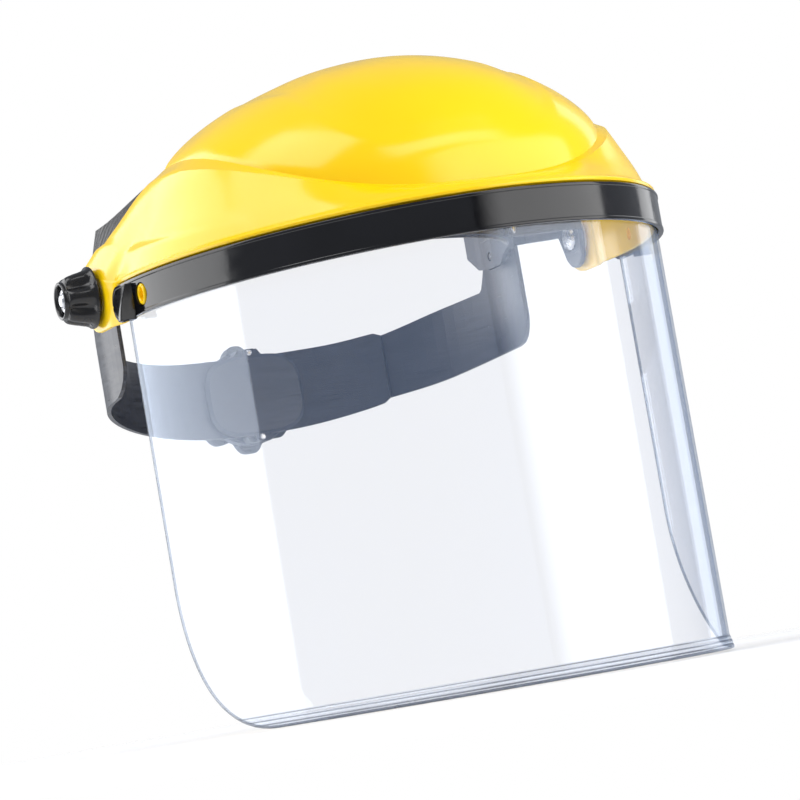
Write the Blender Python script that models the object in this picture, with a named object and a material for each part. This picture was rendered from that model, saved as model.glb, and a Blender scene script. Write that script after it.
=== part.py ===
"""Head-worn face shield: brow guard, clear visor and ratchet headgear.

Frame: origin midway between the two tilt bolts, +X to the wearer's left,
-Y forward, +Z up.  Lengths are in metres.
"""
import math

import bmesh
import bpy
import numpy as np
from mathutils import Vector

MM = 0.001
GAP = 0.3 * MM                      # clearance between touching pieces

# Rim: the plan curve that strip, visor and brow guard share (outside of the strip)
RIM_HALF_WIDTH = 116.5 * MM
RIM_DEPTH = 151.0 * MM
RIM_POWER = 1.9
RIM_START_Y = -36.0 * MM            # the rim runs straight back from here

# Visor strip
STRIP_TOP = -1.0 * MM
STRIP_BOTTOM = -16.2 * MM
STRIP_END_Y = -27.0 * MM
STRIP_THICK = 2.4 * MM
PEG_Y = -60.0 * MM
PEG_Z = -8.6 * MM
PEG_RADIUS = 4.3 * MM
PEG_BORE = 2.8 * MM

# Visor
VISOR_TOP = -3.0 * MM
VISOR_BOTTOM = -191.0 * MM
VISOR_END_Y = -38.0 * MM
VISOR_TAB_Y = -25.0 * MM
VISOR_TAB_BOTTOM = -10.0 * MM
VISOR_CORNER = 64.0 * MM
VISOR_THICK = 1.0 * MM
LIP_HEIGHT = 5.5 * MM
LIP_ROLL = 1.3 * MM                 # height over which the lip comes forward
LIP_PROUD = 2.0 * MM
TAB_LIP_HEIGHT = 1.5 * MM
TAB_LIP_ROLL = 0.5 * MM
VISOR_INSET = STRIP_THICK + GAP

# Brow guard
GUARD_INSET = VISOR_INSET + VISOR_THICK + GAP
GUARD_THICK = 2.3 * MM
GUARD_BOTTOM = -15.0 * MM
GUARD_WALL_TOP = -0.8 * MM
GUARD_WALL_TOP_REAR = 11.2 * MM     # above the ears
GUARD_LIP = 3.0 * MM                # how far the lip over the strip stands out
DOME_POWER_FRONT = 0.45             # roundness of the dome's sections
DOME_POWER_SIDE = 0.8
EAR_RADIUS = 15.0 * MM
EAR_INSET = 1.5 * MM
RIDGE_HALF_WIDTH = 95.0 * MM
RIDGE_REAR_Y = -35.0 * MM
RIDGE_FRONT_Y = -161.0 * MM
RIDGE_FRONT_Z = 7.0 * MM
RIDGE_REAR_Z = 40.0 * MM
RIDGE_POWER = 2.35
DOME_TOP = np.array([0.0, -49.0, 77.6]) * MM   # where the rear edge is highest

# Tilt joint
BOLT_RADIUS = 3.0 * MM
BOLT_HEAD_RADIUS = 5.4 * MM
LUG_X = 110.4 * MM
LUG_THICK = 2.2 * MM
EAR_OUTER_X = RIM_HALF_WIDTH - EAR_INSET
EAR_INNER_X = EAR_OUTER_X - GUARD_THICK
KNOB_START_X = 116.4 * MM
KNOB_END_X = 130.6 * MM
KNOB_FLANGE_RADIUS = 13.3 * MM
KNOB_LOBES = 6

# Headgear ring
RING_Y = 50.0 * MM
BAND_HALF_WIDTH = 93.0 * MM
BAND_HALF_LENGTH = 103.0 * MM
BAND_THICK = 2.0 * MM
BAND_BOTTOM = 2.0 * MM
BAND_TOP = 34.0 * MM
BAND_SIDE_TOP = 21.5 * MM           # lower under the feet of the crown strap
BAND_END_ANGLE = 102.0              # degrees from straight ahead

# Nape straps, concentric about the vertical line through (0, RING_Y)
INNER_STRAP_RADIUS = 95.6 * MM      # inside face of the right strap
OUTER_STRAP_RADIUS = 97.9 * MM      # inside face of the left strap
STRAP_THICK = 1.9 * MM
STRAP_OVERLAP_ANGLE = 39.5          # degrees past the middle of the nape
ARM_FRONT_ANGLE = 99.0
ARM_REAR_ANGLE = 79.5
ARM_TOP = 8.8 * MM
ARM_STUD_Z = 2.5 * MM
FOOT_STUD_Z = 14.8 * MM
FOOT_BOTTOM = 10.0 * MM
FOOT_TOP = 19.8 * MM
ARM_STUD_REACH = 7.6 * MM           # from the ring to under the stud's head
FOOT_STUD_REACH = 2.6 * MM
STUD_RADIUS = 1.7 * MM
STUD_HOLE = 2.1 * MM
ARM_SLOT_HALF = 8.2 * MM            # half length between the slot's round ends
ARM_SLOT_RADIUS = 2.2 * MM
RIVET_RADIUS = 1.5 * MM
RIVETS = [(-16.5, 5.6), (22.0, 5.6)]     # (y, z) in mm of the rivets of one bracket
BRACKET_BOTTOM = 2.1 * MM
BRACKET_TOP = 9.1 * MM
LUG_BOTTOM = -13.5 * MM
LUG_TOP = 6.5 * MM                  # low enough for the brow guard to tilt past it

# Ratchet
RATCHET_Z = -37.5 * MM
HOUSING_RADIUS = 22.5 * MM
HOUSING_WALL = 2.2 * MM
COVER_HALF_WIDTH = 24.0 * MM        # wide enough to hide the straps' slots at rest
COVER_HALF_HEIGHT = 19.0 * MM
GEAR_TEETH = 10
GEAR_PITCH_RADIUS = 6.0 * MM
TOOTH_HEIGHT = 1.15 * MM            # above and below the pitch line
TOOTH_BACKLASH = 0.45 * MM
SLOT_HALF_LENGTH = 21.0 * MM
HOUSING_TEETH = 16                  # inside the housing's rim, for the pawls
RATCHET_KNOB_RADIUS = 26.0 * MM
RATCHET_KNOB_LOBES = 8

# Strap over the head
CROWN_STRAP_WIDTH = 19.0 * MM
CROWN_STRAP_THICK = 1.6 * MM
CROWN_OVERLAP = 28.0 * MM
CROWN_HOLE_PITCH = 11.0 * MM
CROWN_SPAN = 95.2 * MM              # half width of its centre line where it meets the ring

COLOURS = {
    "yellow": ((0.95, 0.63, 0.01), 0.18, 0.0),
    "black_gloss": ((0.012, 0.012, 0.014), 0.22, 0.0),
    "black_satin": ((0.016, 0.017, 0.02), 0.42, 0.0),
    "clear": ((0.9, 0.94, 0.97), 0.05, 0.0),
    "steel": ((0.72, 0.73, 0.75), 0.25, 1.0),
    "acetal": ((0.75, 0.75, 0.72), 0.4, 0.0),
    "foam": ((0.03, 0.03, 0.034), 0.9, 0.0),
}


# ---------------------------------------------------------------- basics

def clear_scene():
    for obj in list(bpy.data.objects):
        bpy.data.objects.remove(obj, do_unlink=True)


def new_material(name, colour):
    base, roughness, metallic = COLOURS[colour]
    material = bpy.data.materials.new(name)
    material.use_nodes = True
    shader = material.node_tree.nodes["Principled BSDF"]
    shader.inputs["Base Color"].default_value = (*base, 1.0)
    shader.inputs["Roughness"].default_value = roughness
    shader.inputs["Metallic"].default_value = metallic
    return material


def make_object(name, verts, faces, colour=None, origin=(0.0, 0.0, 0.0), parent=None):
    """Build a mesh object from world-space points, with its own origin."""
    mesh = bpy.data.meshes.new(name)
    origin = Vector(origin)
    mesh.from_pydata([Vector(v) - origin for v in verts], [], faces)
    bm = bmesh.new()
    bm.from_mesh(mesh)
    bmesh.ops.remove_doubles(bm, verts=bm.verts, dist=0.00002)
    bmesh.ops.dissolve_degenerate(bm, edges=bm.edges, dist=0.00001)
    bmesh.ops.recalc_face_normals(bm, faces=bm.faces)
    bm.to_mesh(mesh)
    bm.free()
    mesh.shade_smooth()
    mesh.set_sharp_from_angle(angle=math.radians(35))
    obj = bpy.data.objects.new(name, mesh)
    obj.location = origin
    bpy.context.scene.collection.objects.link(obj)
    if colour:
        mesh.materials.append(new_material(name, colour))
    if parent:
        obj.parent = parent
        obj.location = origin - parent.location
    return obj


def make_helper(name, verts, faces):
    """A cutter or an added volume: used by a Boolean, never a part itself."""
    obj = make_object(name, verts, faces)
    obj.hide_render = True
    obj.display_type = "WIRE"
    return obj


def boolean(obj, helper, operation="DIFFERENCE"):
    modifier = obj.modifiers.new(helper.name, "BOOLEAN")
    modifier.operation = operation
    modifier.object = helper


def empty(name, location):
    obj = bpy.data.objects.new(name, None)
    obj.location = location
    bpy.context.scene.collection.objects.link(obj)
    return obj


# ---------------------------------------------------------------- shapes

def shell(outer, inner):
    """Closed sheet between two grids of points with the same rows and columns."""
    outer, inner = np.asarray(outer), np.asarray(inner)
    rows, cols = outer.shape[:2]
    verts = list(outer.reshape(-1, 3)) + list(inner.reshape(-1, 3))
    shift = rows * cols

    def at(r, c, side):
        return r * cols + c + side * shift

    faces = []
    for r in range(rows - 1):
        for c in range(cols - 1):
            quad = [(r, c), (r, c + 1), (r + 1, c + 1), (r + 1, c)]
            faces.append([at(*p, 0) for p in quad])
            faces.append([at(*p, 1) for p in reversed(quad)])
    for c in range(cols - 1):
        for r in (0, rows - 1):
            faces.append([at(r, c, 0), at(r, c, 1), at(r, c + 1, 1), at(r, c + 1, 0)])
    for r in range(rows - 1):
        for c in (0, cols - 1):
            faces.append([at(r, c, 0), at(r + 1, c, 0), at(r + 1, c, 1), at(r, c, 1)])
    return verts, faces


def sweep(rings):
    """Solid through a list of closed rings of points, capped at both ends."""
    count = len(rings[0])
    verts = [p for ring in rings for p in ring]
    faces = []
    for i in range(len(rings) - 1):
        for j in range(count):
            k = (j + 1) % count
            faces.append([i * count + j, i * count + k, (i + 1) * count + k, (i + 1) * count + j])
    last = (len(rings) - 1) * count
    faces.append(list(range(count)))
    faces.append([last + j for j in range(count)])
    return verts, faces


def turned(axis, centre, rings, count, bored, sign=1.0):
    """Solid round an axis.  rings is a list of (distance along axis, radius),
    where radius is a number or a function of the angle.  A bored solid closes
    its last ring onto its first; any other is capped."""
    centre = np.asarray(centre, float)
    along = {"X": (1, 0, 0), "Y": (0, 1, 0), "Z": (0, 0, 1)}[axis]
    side = {"X": (0, 1, 0), "Y": (1, 0, 0), "Z": (1, 0, 0)}[axis]
    along, side = np.array(along, float), np.array(side, float)
    third = np.cross(along, side)
    points = []
    for distance, radius in rings:
        ring = []
        for k in range(count):
            angle = math.tau * k / count
            r = radius(angle) if callable(radius) else radius
            spoke = side * math.cos(angle) + third * math.sin(angle)
            ring.append(centre + along * distance * sign + spoke * r)
        points.append(ring)
    if not bored:
        return sweep(points)
    verts = [p for ring in points for p in ring]
    faces = []
    total = len(points)
    for i in range(total):
        n = (i + 1) % total
        for j in range(count):
            k = (j + 1) % count
            faces.append([i * count + j, i * count + k, n * count + k, n * count + j])
    return verts, faces


def rod(start, end, radius, count=24):
    """Cylinder between two points."""
    start, end = Vector(start), Vector(end)
    turn = (end - start).to_track_quat("Z", "Y").to_matrix()
    rings = []
    for point in (start, end):
        rings.append([
            point + turn @ Vector((math.cos(a) * radius, math.sin(a) * radius, 0.0))
            for a in np.linspace(0, math.tau, count, endpoint=False)
        ])
    return sweep(rings)


def prism_y(outline, y0, y1):
    """Outline of (x, z) points extruded along Y."""
    return sweep([[(x, y, z) for x, z in outline] for y in (y0, y1)])


def smoothstep(value, low, high):
    t = min(max((value - low) / (high - low), 0.0), 1.0)
    return t * t * (3 - 2 * t)


def resample(points, fractions):
    points = np.asarray(points, float)
    lengths = np.r_[0, np.cumsum(np.linalg.norm(np.diff(points, axis=0), axis=1))]
    wanted = np.asarray(fractions) * lengths[-1]
    return np.stack([np.interp(wanted, lengths, points[:, i]) for i in range(points.shape[1])], 1)


# ---------------------------------------------------------------- rim curve

def rim_points(end_y, fractions, inset=0.0):
    """Plan points of the rim from the right end to the left end, moved inward
    by inset (a number, or a function of the point's y)."""
    angle = np.linspace(math.pi, 0, 721)
    cos, sin = np.cos(angle), np.sin(angle)
    x = RIM_HALF_WIDTH * np.sign(cos) * np.abs(cos) ** (2 / RIM_POWER)
    y = RIM_START_Y - RIM_DEPTH * np.abs(sin) ** (2 / RIM_POWER)
    curve = np.stack([x, y], 1)
    tail = np.linspace(end_y, RIM_START_Y, 40, endpoint=False)
    right = np.stack([np.full(40, -RIM_HALF_WIDTH), tail], 1)
    left = right[::-1] * [-1, 1]
    plan = resample(np.vstack([right, curve, left]), fractions)
    dense = resample(np.vstack([right, curve, left]), np.linspace(0, 1, 1601))
    tangent = np.gradient(dense, axis=0)
    normal = np.stack([-tangent[:, 1], tangent[:, 0]], 1)
    normal /= np.linalg.norm(normal, axis=1)[:, None]
    index = np.linspace(0, 1, 1601)
    inward = np.stack([np.interp(fractions, index, normal[:, i]) for i in range(2)], 1)
    depth = np.array([inset(py) if callable(inset) else inset for _, py in plan])
    return plan + inward * depth[:, None], inward


def rim_length(end_y):
    plan, _ = rim_points(end_y, np.linspace(0, 1, 801))
    return float(np.linalg.norm(np.diff(plan, axis=0), axis=1).sum())


def rim_x(y, inset):
    """Half width of the rim at a given y."""
    plan, _ = rim_points(STRIP_END_Y, np.linspace(0, 0.5, 801), inset)
    return float(np.interp(-y, -plan[:, 1], -plan[:, 0]))


# ---------------------------------------------------------------- brow guard

def guard_stations():
    """Fractions along the rim from ear to ear: close together round each ear."""
    total = rim_length(EAR_RADIUS)
    ear = [EAR_RADIUS * (1 - math.cos(math.radians(a))) for a in (0, 25, 45, 66, 90)]
    ear += [EAR_RADIUS + step * MM for step in (5, 10, 14, 18, 23.5, 30, 37)]
    ear = np.array(ear) / total
    middle = np.linspace(ear[-1], 1 - ear[-1], 37)
    return np.r_[ear[:-1], middle, 1 - ear[:-1][::-1]]


def ridge_curve():
    """Crease between the dome and the side panels, right to left."""
    beta = np.radians(np.linspace(-90, 90, 361))
    power = 2 / RIDGE_POWER
    x = RIDGE_HALF_WIDTH * np.sign(beta) * np.abs(np.sin(beta)) ** power
    y = RIDGE_REAR_Y + (RIDGE_FRONT_Y - RIDGE_REAR_Y) * np.abs(np.cos(beta)) ** power
    rise = np.abs(np.sin(beta)) ** 2.3
    z = RIDGE_FRONT_Z + (RIDGE_REAR_Z - RIDGE_FRONT_Z) * rise
    return np.stack([x, y, z], 1)


def guard_outer():
    """Outside of the brow guard: one column per rim station, bottom row first."""
    fractions = guard_stations()

    def wall_inset(y):
        return GUARD_INSET + (EAR_INSET - GUARD_INSET) * smoothstep(y, -23.5 * MM, -14 * MM)

    wall, inward = rim_points(EAR_RADIUS, fractions, wall_inset)
    lip_extra = [GUARD_LIP * (1 - smoothstep(y, -34 * MM, -22 * MM)) for _, y in wall]
    ridge = resample(ridge_curve(), fractions)
    columns = []
    for (x, y), normal, extra, crease in zip(wall, inward, lip_extra, ridge):
        side = abs(crease[0]) / RIDGE_HALF_WIDTH
        if y > 0:
            bottom = -math.sqrt(max(EAR_RADIUS**2 - y * y, 0.0))
        else:
            bottom = GUARD_BOTTOM
        rear = smoothstep(y, STRIP_END_Y, 10 * MM)
        top = GUARD_WALL_TOP + (GUARD_WALL_TOP_REAR - GUARD_WALL_TOP) * rear
        lift = 1 - rear
        plan = np.array([x, y])
        out = plan - normal * extra

        def level(point, z):
            return np.array([point[0], point[1], z])

        column = [level(plan, bottom), level(plan, (bottom + top) / 2), level(plan, top)]
        column.append(level(out, top + 0.5 * MM))
        column.append(level(out, top + (0.6 + 2.0 * lift) * MM))
        shoulder = level(plan + normal * 0.4 * MM * lift, top + (0.7 + 3.0 * lift) * MM)
        column.append(shoulder)
        for t in (0.33, 0.67, 1.0):
            column.append(shoulder + (crease - shoulder) * t)
        centre = np.array([0.0, RIDGE_REAR_Y, 0.0])
        flat = crease - centre
        flat[2] = 0.0
        flat /= np.linalg.norm(flat)
        step_in = (2.5 + 6.0 * side**6) * MM
        step_up = (1.0 + 4.6 * side**6) * MM
        base = crease - flat * step_in + np.array([0, 0, step_up])
        column.append(base)
        power = DOME_POWER_FRONT + (DOME_POWER_SIDE - DOME_POWER_FRONT) * side**2
        for a in (15, 30, 45, 60, 76, 90):
            reach = math.cos(math.radians(a))
            point = DOME_TOP + (base - DOME_TOP) * reach
            point[2] = base[2] + (DOME_TOP[2] - base[2]) * (1 - reach**2) ** power
            column.append(point)
        columns.append(column)
    return np.transpose(np.array(columns), (1, 0, 2)), inward


def guard_inner(outer, inward):
    """Inside of the brow guard: the outside moved in along smoothed normals."""
    down = np.gradient(outer, axis=0)
    along = np.gradient(outer, axis=1)
    normal = np.cross(along, down)
    normal[-1] = (0, 0, -1)
    length = np.linalg.norm(normal, axis=2, keepdims=True)
    normal = normal / np.maximum(length, 1e-12)
    inside = np.array([0, -60, 0]) * MM - outer
    flip = np.sign((normal * inside).sum(axis=2, keepdims=True))
    normal *= np.where(flip == 0, 1, flip)
    normal[-1] = (0, 0, -1)
    for _ in range(3):
        padded = np.pad(normal, ((1, 1), (1, 1), (0, 0)), mode="edge")
        normal = sum(padded[i:i + normal.shape[0], j:j + normal.shape[1]]
                     for i in range(3) for j in range(3))
        normal /= np.linalg.norm(normal, axis=2, keepdims=True)
        normal[-1] = (0, 0, -1)
    inner = outer + normal * GUARD_THICK
    flat = np.concatenate([inward, np.zeros((len(inward), 1))], axis=1)
    # behind the lip the inside goes straight up; rows 0 to 2 are the wall, 5 the shoulder
    for row in range(6):
        wall = outer[min(row, 2)]
        inner[row, :, :2] = wall[:, :2] + flat[:, :2] * GUARD_THICK
        inner[row, :, 2] = outer[row, :, 2]
    rise = outer[5, :, 2] - outer[2, :, 2]
    for row, share in ((3, 0.25), (4, 0.5), (5, 0.7)):
        inner[row, :, 2] = outer[2, :, 2] + rise * share
    return inner


def peg_line(side, x_inner, x_outer):
    return (side * x_inner, PEG_Y, PEG_Z), (side * x_outer, PEG_Y, PEG_Z)


def build_brow_guard(parent):
    outer, inward = guard_outer()
    verts, faces = shell(outer, guard_inner(outer, inward))
    guard = make_object("brow_guard", verts, faces, "yellow", parent=parent)
    peg_tip = rim_x(PEG_Y, 0.0)
    wall = rim_x(PEG_Y, GUARD_INSET + GUARD_THICK)
    for side, label in ((-1, "right"), (1, "left")):
        peg = rod(*peg_line(side, wall + 0.6 * MM, peg_tip), PEG_RADIUS)
        boolean(guard, make_helper(f"peg_{label}", *peg), "UNION")
        bore = rod(*peg_line(side, wall - 6 * MM, peg_tip + 6 * MM), PEG_BORE)
        boolean(guard, make_helper(f"peg_bore_{label}", *bore))
        hole = rod((side * 105 * MM, 0, 0), (side * 120 * MM, 0, 0), BOLT_RADIUS + GAP)
        boolean(guard, make_helper(f"ear_hole_{label}", *hole))


# ---------------------------------------------------------------- visor and strip

def build_visor_strip(parent):
    """Rounded band with a hole and a finger tab near each end."""
    length = rim_length(STRIP_END_Y)
    half = (STRIP_TOP - STRIP_BOTTOM) / 2
    middle = (STRIP_TOP + STRIP_BOTTOM) / 2
    ends = [half * (1 - math.cos(math.radians(a))) / length for a in (22, 42, 64, 90)]
    fractions = np.r_[ends[:-1], np.linspace(ends[-1], 1 - ends[-1], 45), 1 - np.array(ends[:-1])[::-1]]
    chamfer = 0.5 * MM
    profile = [(0.0, -1), (0.0, 1), (chamfer, 1), (STRIP_THICK - chamfer, 1),
               (STRIP_THICK, 1), (STRIP_THICK, -1), (STRIP_THICK - chamfer, -1), (chamfer, -1)]
    cut_back = {0: chamfer, 1: chamfer, 4: chamfer, 5: chamfer}
    layers = {inset: rim_points(STRIP_END_Y, fractions, inset)[0] for inset, _ in profile}
    rings = []
    for i, f in enumerate(fractions):
        from_end = min(f, 1 - f) * length
        reach = max(half - from_end, 0.0)
        height = math.sqrt(half**2 - reach**2)
        ring = []
        for k, (inset, sign) in enumerate(profile):
            x, y = layers[inset][i]
            ring.append((x, y, middle + sign * (height - cut_back.get(k, 0.0))))
        rings.append(ring)
    strip = make_object("visor_strip", *sweep(rings), "black_gloss", parent=parent)
    for side, label in ((-1, "right"), (1, "left")):
        hole = rod(*peg_line(side, 100 * MM, 124 * MM), PEG_RADIUS + 0.6 * MM)
        boolean(strip, make_helper(f"strip_hole_{label}", *hole))
        # the tab is a wedge that stands out further at its lower end
        face = rim_x(-50 * MM, 0.8 * MM)
        section = [(-52.5, 0.0), (-47.0, 0.0), (-49.2, 1.0), (-52.0, 1.0)]
        rings = []
        for z, proud in ((-2.5, 3.2), (-9.0, 5.4), (-17.6, 7.4)):
            rings.append([(side * (face + out * proud * MM), y * MM, z * MM) for y, out in section])
        boolean(strip, make_helper(f"finger_tab_{label}", *sweep(rings)), "UNION")


def build_visor_panel(parent):
    """Curved sheet with rounded lower corners, a bottom lip and a tab at each top corner."""
    length = rim_length(VISOR_TAB_Y)
    tab = VISOR_TAB_Y - VISOR_END_Y
    steps = [0.0, tab - 0.2 * MM, tab + 0.2 * MM]
    steps += [tab + VISOR_CORNER * (1 - math.cos(math.radians(a))) for a in (9, 20, 32, 44, 56, 68, 79, 90)]
    left = np.array(steps) / length
    fractions = np.r_[left, np.linspace(left[-1], 1 - left[-1], 33)[1:-1], 1 - left[::-1]]
    rows = [0.0, 0.04, 0.33, 0.66, 1.0]
    outer, inner = [], []
    skin = rim_points(VISOR_TAB_Y, fractions, VISOR_INSET)[0]
    back = rim_points(VISOR_TAB_Y, fractions, VISOR_INSET + VISOR_THICK)[0]
    proud = rim_points(VISOR_TAB_Y, fractions, VISOR_INSET - LIP_PROUD)[0]
    for i, f in enumerate(fractions):
        s = min(f, 1 - f) * length - tab
        if s < 0:
            bottom, lip_height, roll = VISOR_TAB_BOTTOM, TAB_LIP_HEIGHT, TAB_LIP_ROLL
        else:
            reach = max(VISOR_CORNER - s, 0.0)
            bottom = VISOR_BOTTOM + VISOR_CORNER - math.sqrt(VISOR_CORNER**2 - reach**2)
            lip_height, roll = LIP_HEIGHT, LIP_ROLL
        lip = smoothstep(s, 0.55 * VISOR_CORNER, 1.1 * VISOR_CORNER)
        rolled = skin[i] + (proud[i] - skin[i]) * lip
        lip_top = bottom + lip_height
        sheet = [VISOR_TOP + (lip_top - VISOR_TOP) * t for t in rows]
        edge = [lip_top - roll, bottom]
        outer.append([(*skin[i], z) for z in sheet] + [(*rolled, z) for z in edge])
        inner.append([(*back[i], z) for z in sheet + edge])
    outer = np.transpose(np.array(outer), (1, 0, 2))
    inner = np.transpose(np.array(inner), (1, 0, 2))
    visor = make_object("visor_panel", *shell(outer, inner), "clear", parent=parent)
    for side, label in ((-1, "right"), (1, "left")):
        hole = rod(*peg_line(side, 100 * MM, 124 * MM), PEG_RADIUS + 0.4 * MM)
        boolean(visor, make_helper(f"visor_hole_{label}", *hole))


# ---------------------------------------------------------------- tilt joint

def knob_radius(base, depth, lobes, phase=0.0):
    """Radius of a lobed grip: rounded lobes with narrow scallops between them."""
    def radius(angle):
        wave = 0.5 + 0.5 * math.cos(lobes * (angle - phase))
        return base - depth * (1 - wave) ** 1.6
    return radius


def build_side_knob(side, label, parent):
    start, end = KNOB_START_X, KNOB_END_X
    bore = BOLT_RADIUS + GAP
    grip = [(1.9, 12.7, 0.4), (3.0, 12.4, 2.1), (6.0, 11.7, 2.7), (9.0, 11.0, 2.8), (11.3, 10.2, 2.3),
            (12.2, 9.2, 1.2)]
    rings = [(start, KNOB_FLANGE_RADIUS), (start + 1.4 * MM, KNOB_FLANGE_RADIUS)]
    rings += [(start + x * MM, knob_radius(r * MM, d * MM, KNOB_LOBES)) for x, r, d in grip]
    rings += [(start + 12.6 * MM, 8.2 * MM), (end - 0.4 * MM, 8.1 * MM), (end, 7.7 * MM),
              (end, 7.0 * MM), (end - 0.5 * MM, 6.5 * MM), (end - 5.4 * MM, 6.4 * MM),
              (end - 5.4 * MM, bore), (start, bore)]
    solid = turned("X", (0, 0, 0), rings, 36, bored=True, sign=side)
    make_object(f"side_knob_{label}", *solid, "black_gloss", origin=(side * start, 0, 0), parent=parent)

    hexagon = 5.0 * MM

    def flat_side(angle):
        turn = (angle + math.pi / 6) % (math.pi / 3) - math.pi / 6
        return hexagon / math.cos(turn)

    outer, inner = end - 1.6 * MM, end - 5.1 * MM
    rings = [(inner, flat_side), (outer - 0.4 * MM, flat_side), (outer, hexagon), (outer, bore), (inner, bore)]
    solid = turned("X", (0, 0, 0), rings, 18, bored=True, sign=side)
    make_object(f"knob_nut_{label}", *solid, "steel", origin=(side * start, 0, 0), parent=parent)


def build_tilt_bolt(side, label):
    """Round head against the inside of the lug, shank through to the knob's end."""
    head = LUG_X - LUG_THICK / 2 - GAP
    rings = [(head - 2.4 * MM, 3.6 * MM), (head - 1.7 * MM, 4.9 * MM), (head - 0.6 * MM, BOLT_HEAD_RADIUS),
             (head, BOLT_HEAD_RADIUS), (head, BOLT_RADIUS), (KNOB_END_X - 1.2 * MM, BOLT_RADIUS),
             (KNOB_END_X - 0.4 * MM, BOLT_RADIUS - 0.7 * MM)]
    solid = turned("X", (0, 0, 0), rings, 20, bored=False, sign=side)
    make_object(f"tilt_bolt_{label}", *solid, "steel")


def washer(name, side, x0, x1, outer, colour, parent=None):
    inner = BOLT_RADIUS + GAP
    rings = [(x0, outer), (x1, outer), (x1, inner), (x0, inner)]
    make_object(name, *turned("X", (0, 0, 0), rings, 24, bored=True, sign=side), colour, parent=parent)


def build_washers(side, label, shield):
    lug_face = LUG_X + LUG_THICK / 2
    washer(f"friction_washer_{label}", side, lug_face + GAP, EAR_INNER_X - GAP, 9.5 * MM, "acetal")
    washer(f"spring_washer_{label}", side, EAR_OUTER_X + GAP, KNOB_START_X - GAP, 8.5 * MM, "steel", shield)


# ---------------------------------------------------------------- headgear ring

def band_point(angle, offset=0.0):
    """Plan point of the ring at an angle from straight ahead (+ towards +X)."""
    a = math.radians(angle)
    x = BAND_HALF_WIDTH * math.sin(a)
    y = RING_Y - BAND_HALF_LENGTH * math.cos(a)
    nx, ny = x / BAND_HALF_WIDTH**2, (y - RING_Y) / BAND_HALF_LENGTH**2
    scale = offset / math.hypot(nx, ny)
    return x + nx * scale, y + ny * scale


def band_angle(y):
    """Angle of the ring's point with a given y, on the +X side."""
    return math.degrees(math.acos((RING_Y - y) / BAND_HALF_LENGTH))


def ring_grid(angles, offset, heights):
    """Rows of points on the ring; heights gives (bottom, top) for an angle."""
    rows = []
    for t in (0.0, 1.0):
        row = []
        for angle in angles:
            bottom, top = heights(angle)
            row.append((*band_point(angle, offset), bottom + (top - bottom) * t))
        rows.append(row)
    return rows


def ring_hole(side, y, z, radius, inner, outer):
    """Cutter or pin square to the ring at a given y and z."""
    angle = side * band_angle(y)
    start = (*band_point(angle, inner), z)
    end = (*band_point(angle, outer), z)
    return rod(start, end, radius, 16)


def build_forehead_band():
    angles = np.linspace(-BAND_END_ANGLE, BAND_END_ANGLE, 45)

    def heights(angle):
        drop = 5.0 * MM * smoothstep(abs(angle), 76, 84) * (1 - smoothstep(abs(angle), 96, 100))
        end = smoothstep(abs(angle), 98, BAND_END_ANGLE)
        low = (BAND_TOP - BAND_SIDE_TOP) * smoothstep(abs(angle), 60, 79)
        return BAND_BOTTOM - drop + 3 * MM * end, BAND_TOP - low - 4 * MM * end

    outer = ring_grid(angles, 0.0, heights)
    inner = ring_grid(angles, -BAND_THICK, heights)
    band = make_object("forehead_band", *shell(outer, inner), "black_satin")
    for side, label in ((-1, "right"), (1, "left")):
        for k, (y, z) in enumerate(RIVETS):
            hole = ring_hole(side, y * MM, z * MM, RIVET_RADIUS + GAP, -6 * MM, 3 * MM)
            boolean(band, make_helper(f"rivet_hole_{label}_{k}", *hole))
        for k, z in enumerate((ARM_STUD_Z, FOOT_STUD_Z)):
            hole = ring_hole(side, RING_Y, z, STUD_HOLE, -6 * MM, 3 * MM)
            boolean(band, make_helper(f"stud_hole_{label}_{k}", *hole))


def ribbon(path, thickness, heights):
    """Upright strip of a given thickness along a plan path; heights gives
    (bottom, top) for each point's index."""
    path = np.asarray(path, float)
    tangent = np.gradient(path, axis=0)
    normal = np.stack([tangent[:, 1], -tangent[:, 0]], 1)
    normal /= np.linalg.norm(normal, axis=1)[:, None]
    grids = []
    for offset in (thickness / 2, -thickness / 2):
        plan = path + normal * offset
        rows = [[(*plan[i], heights(i)[row]) for i in range(len(path))] for row in (0, 1)]
        grids.append(rows)
    return shell(*grids)


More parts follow.
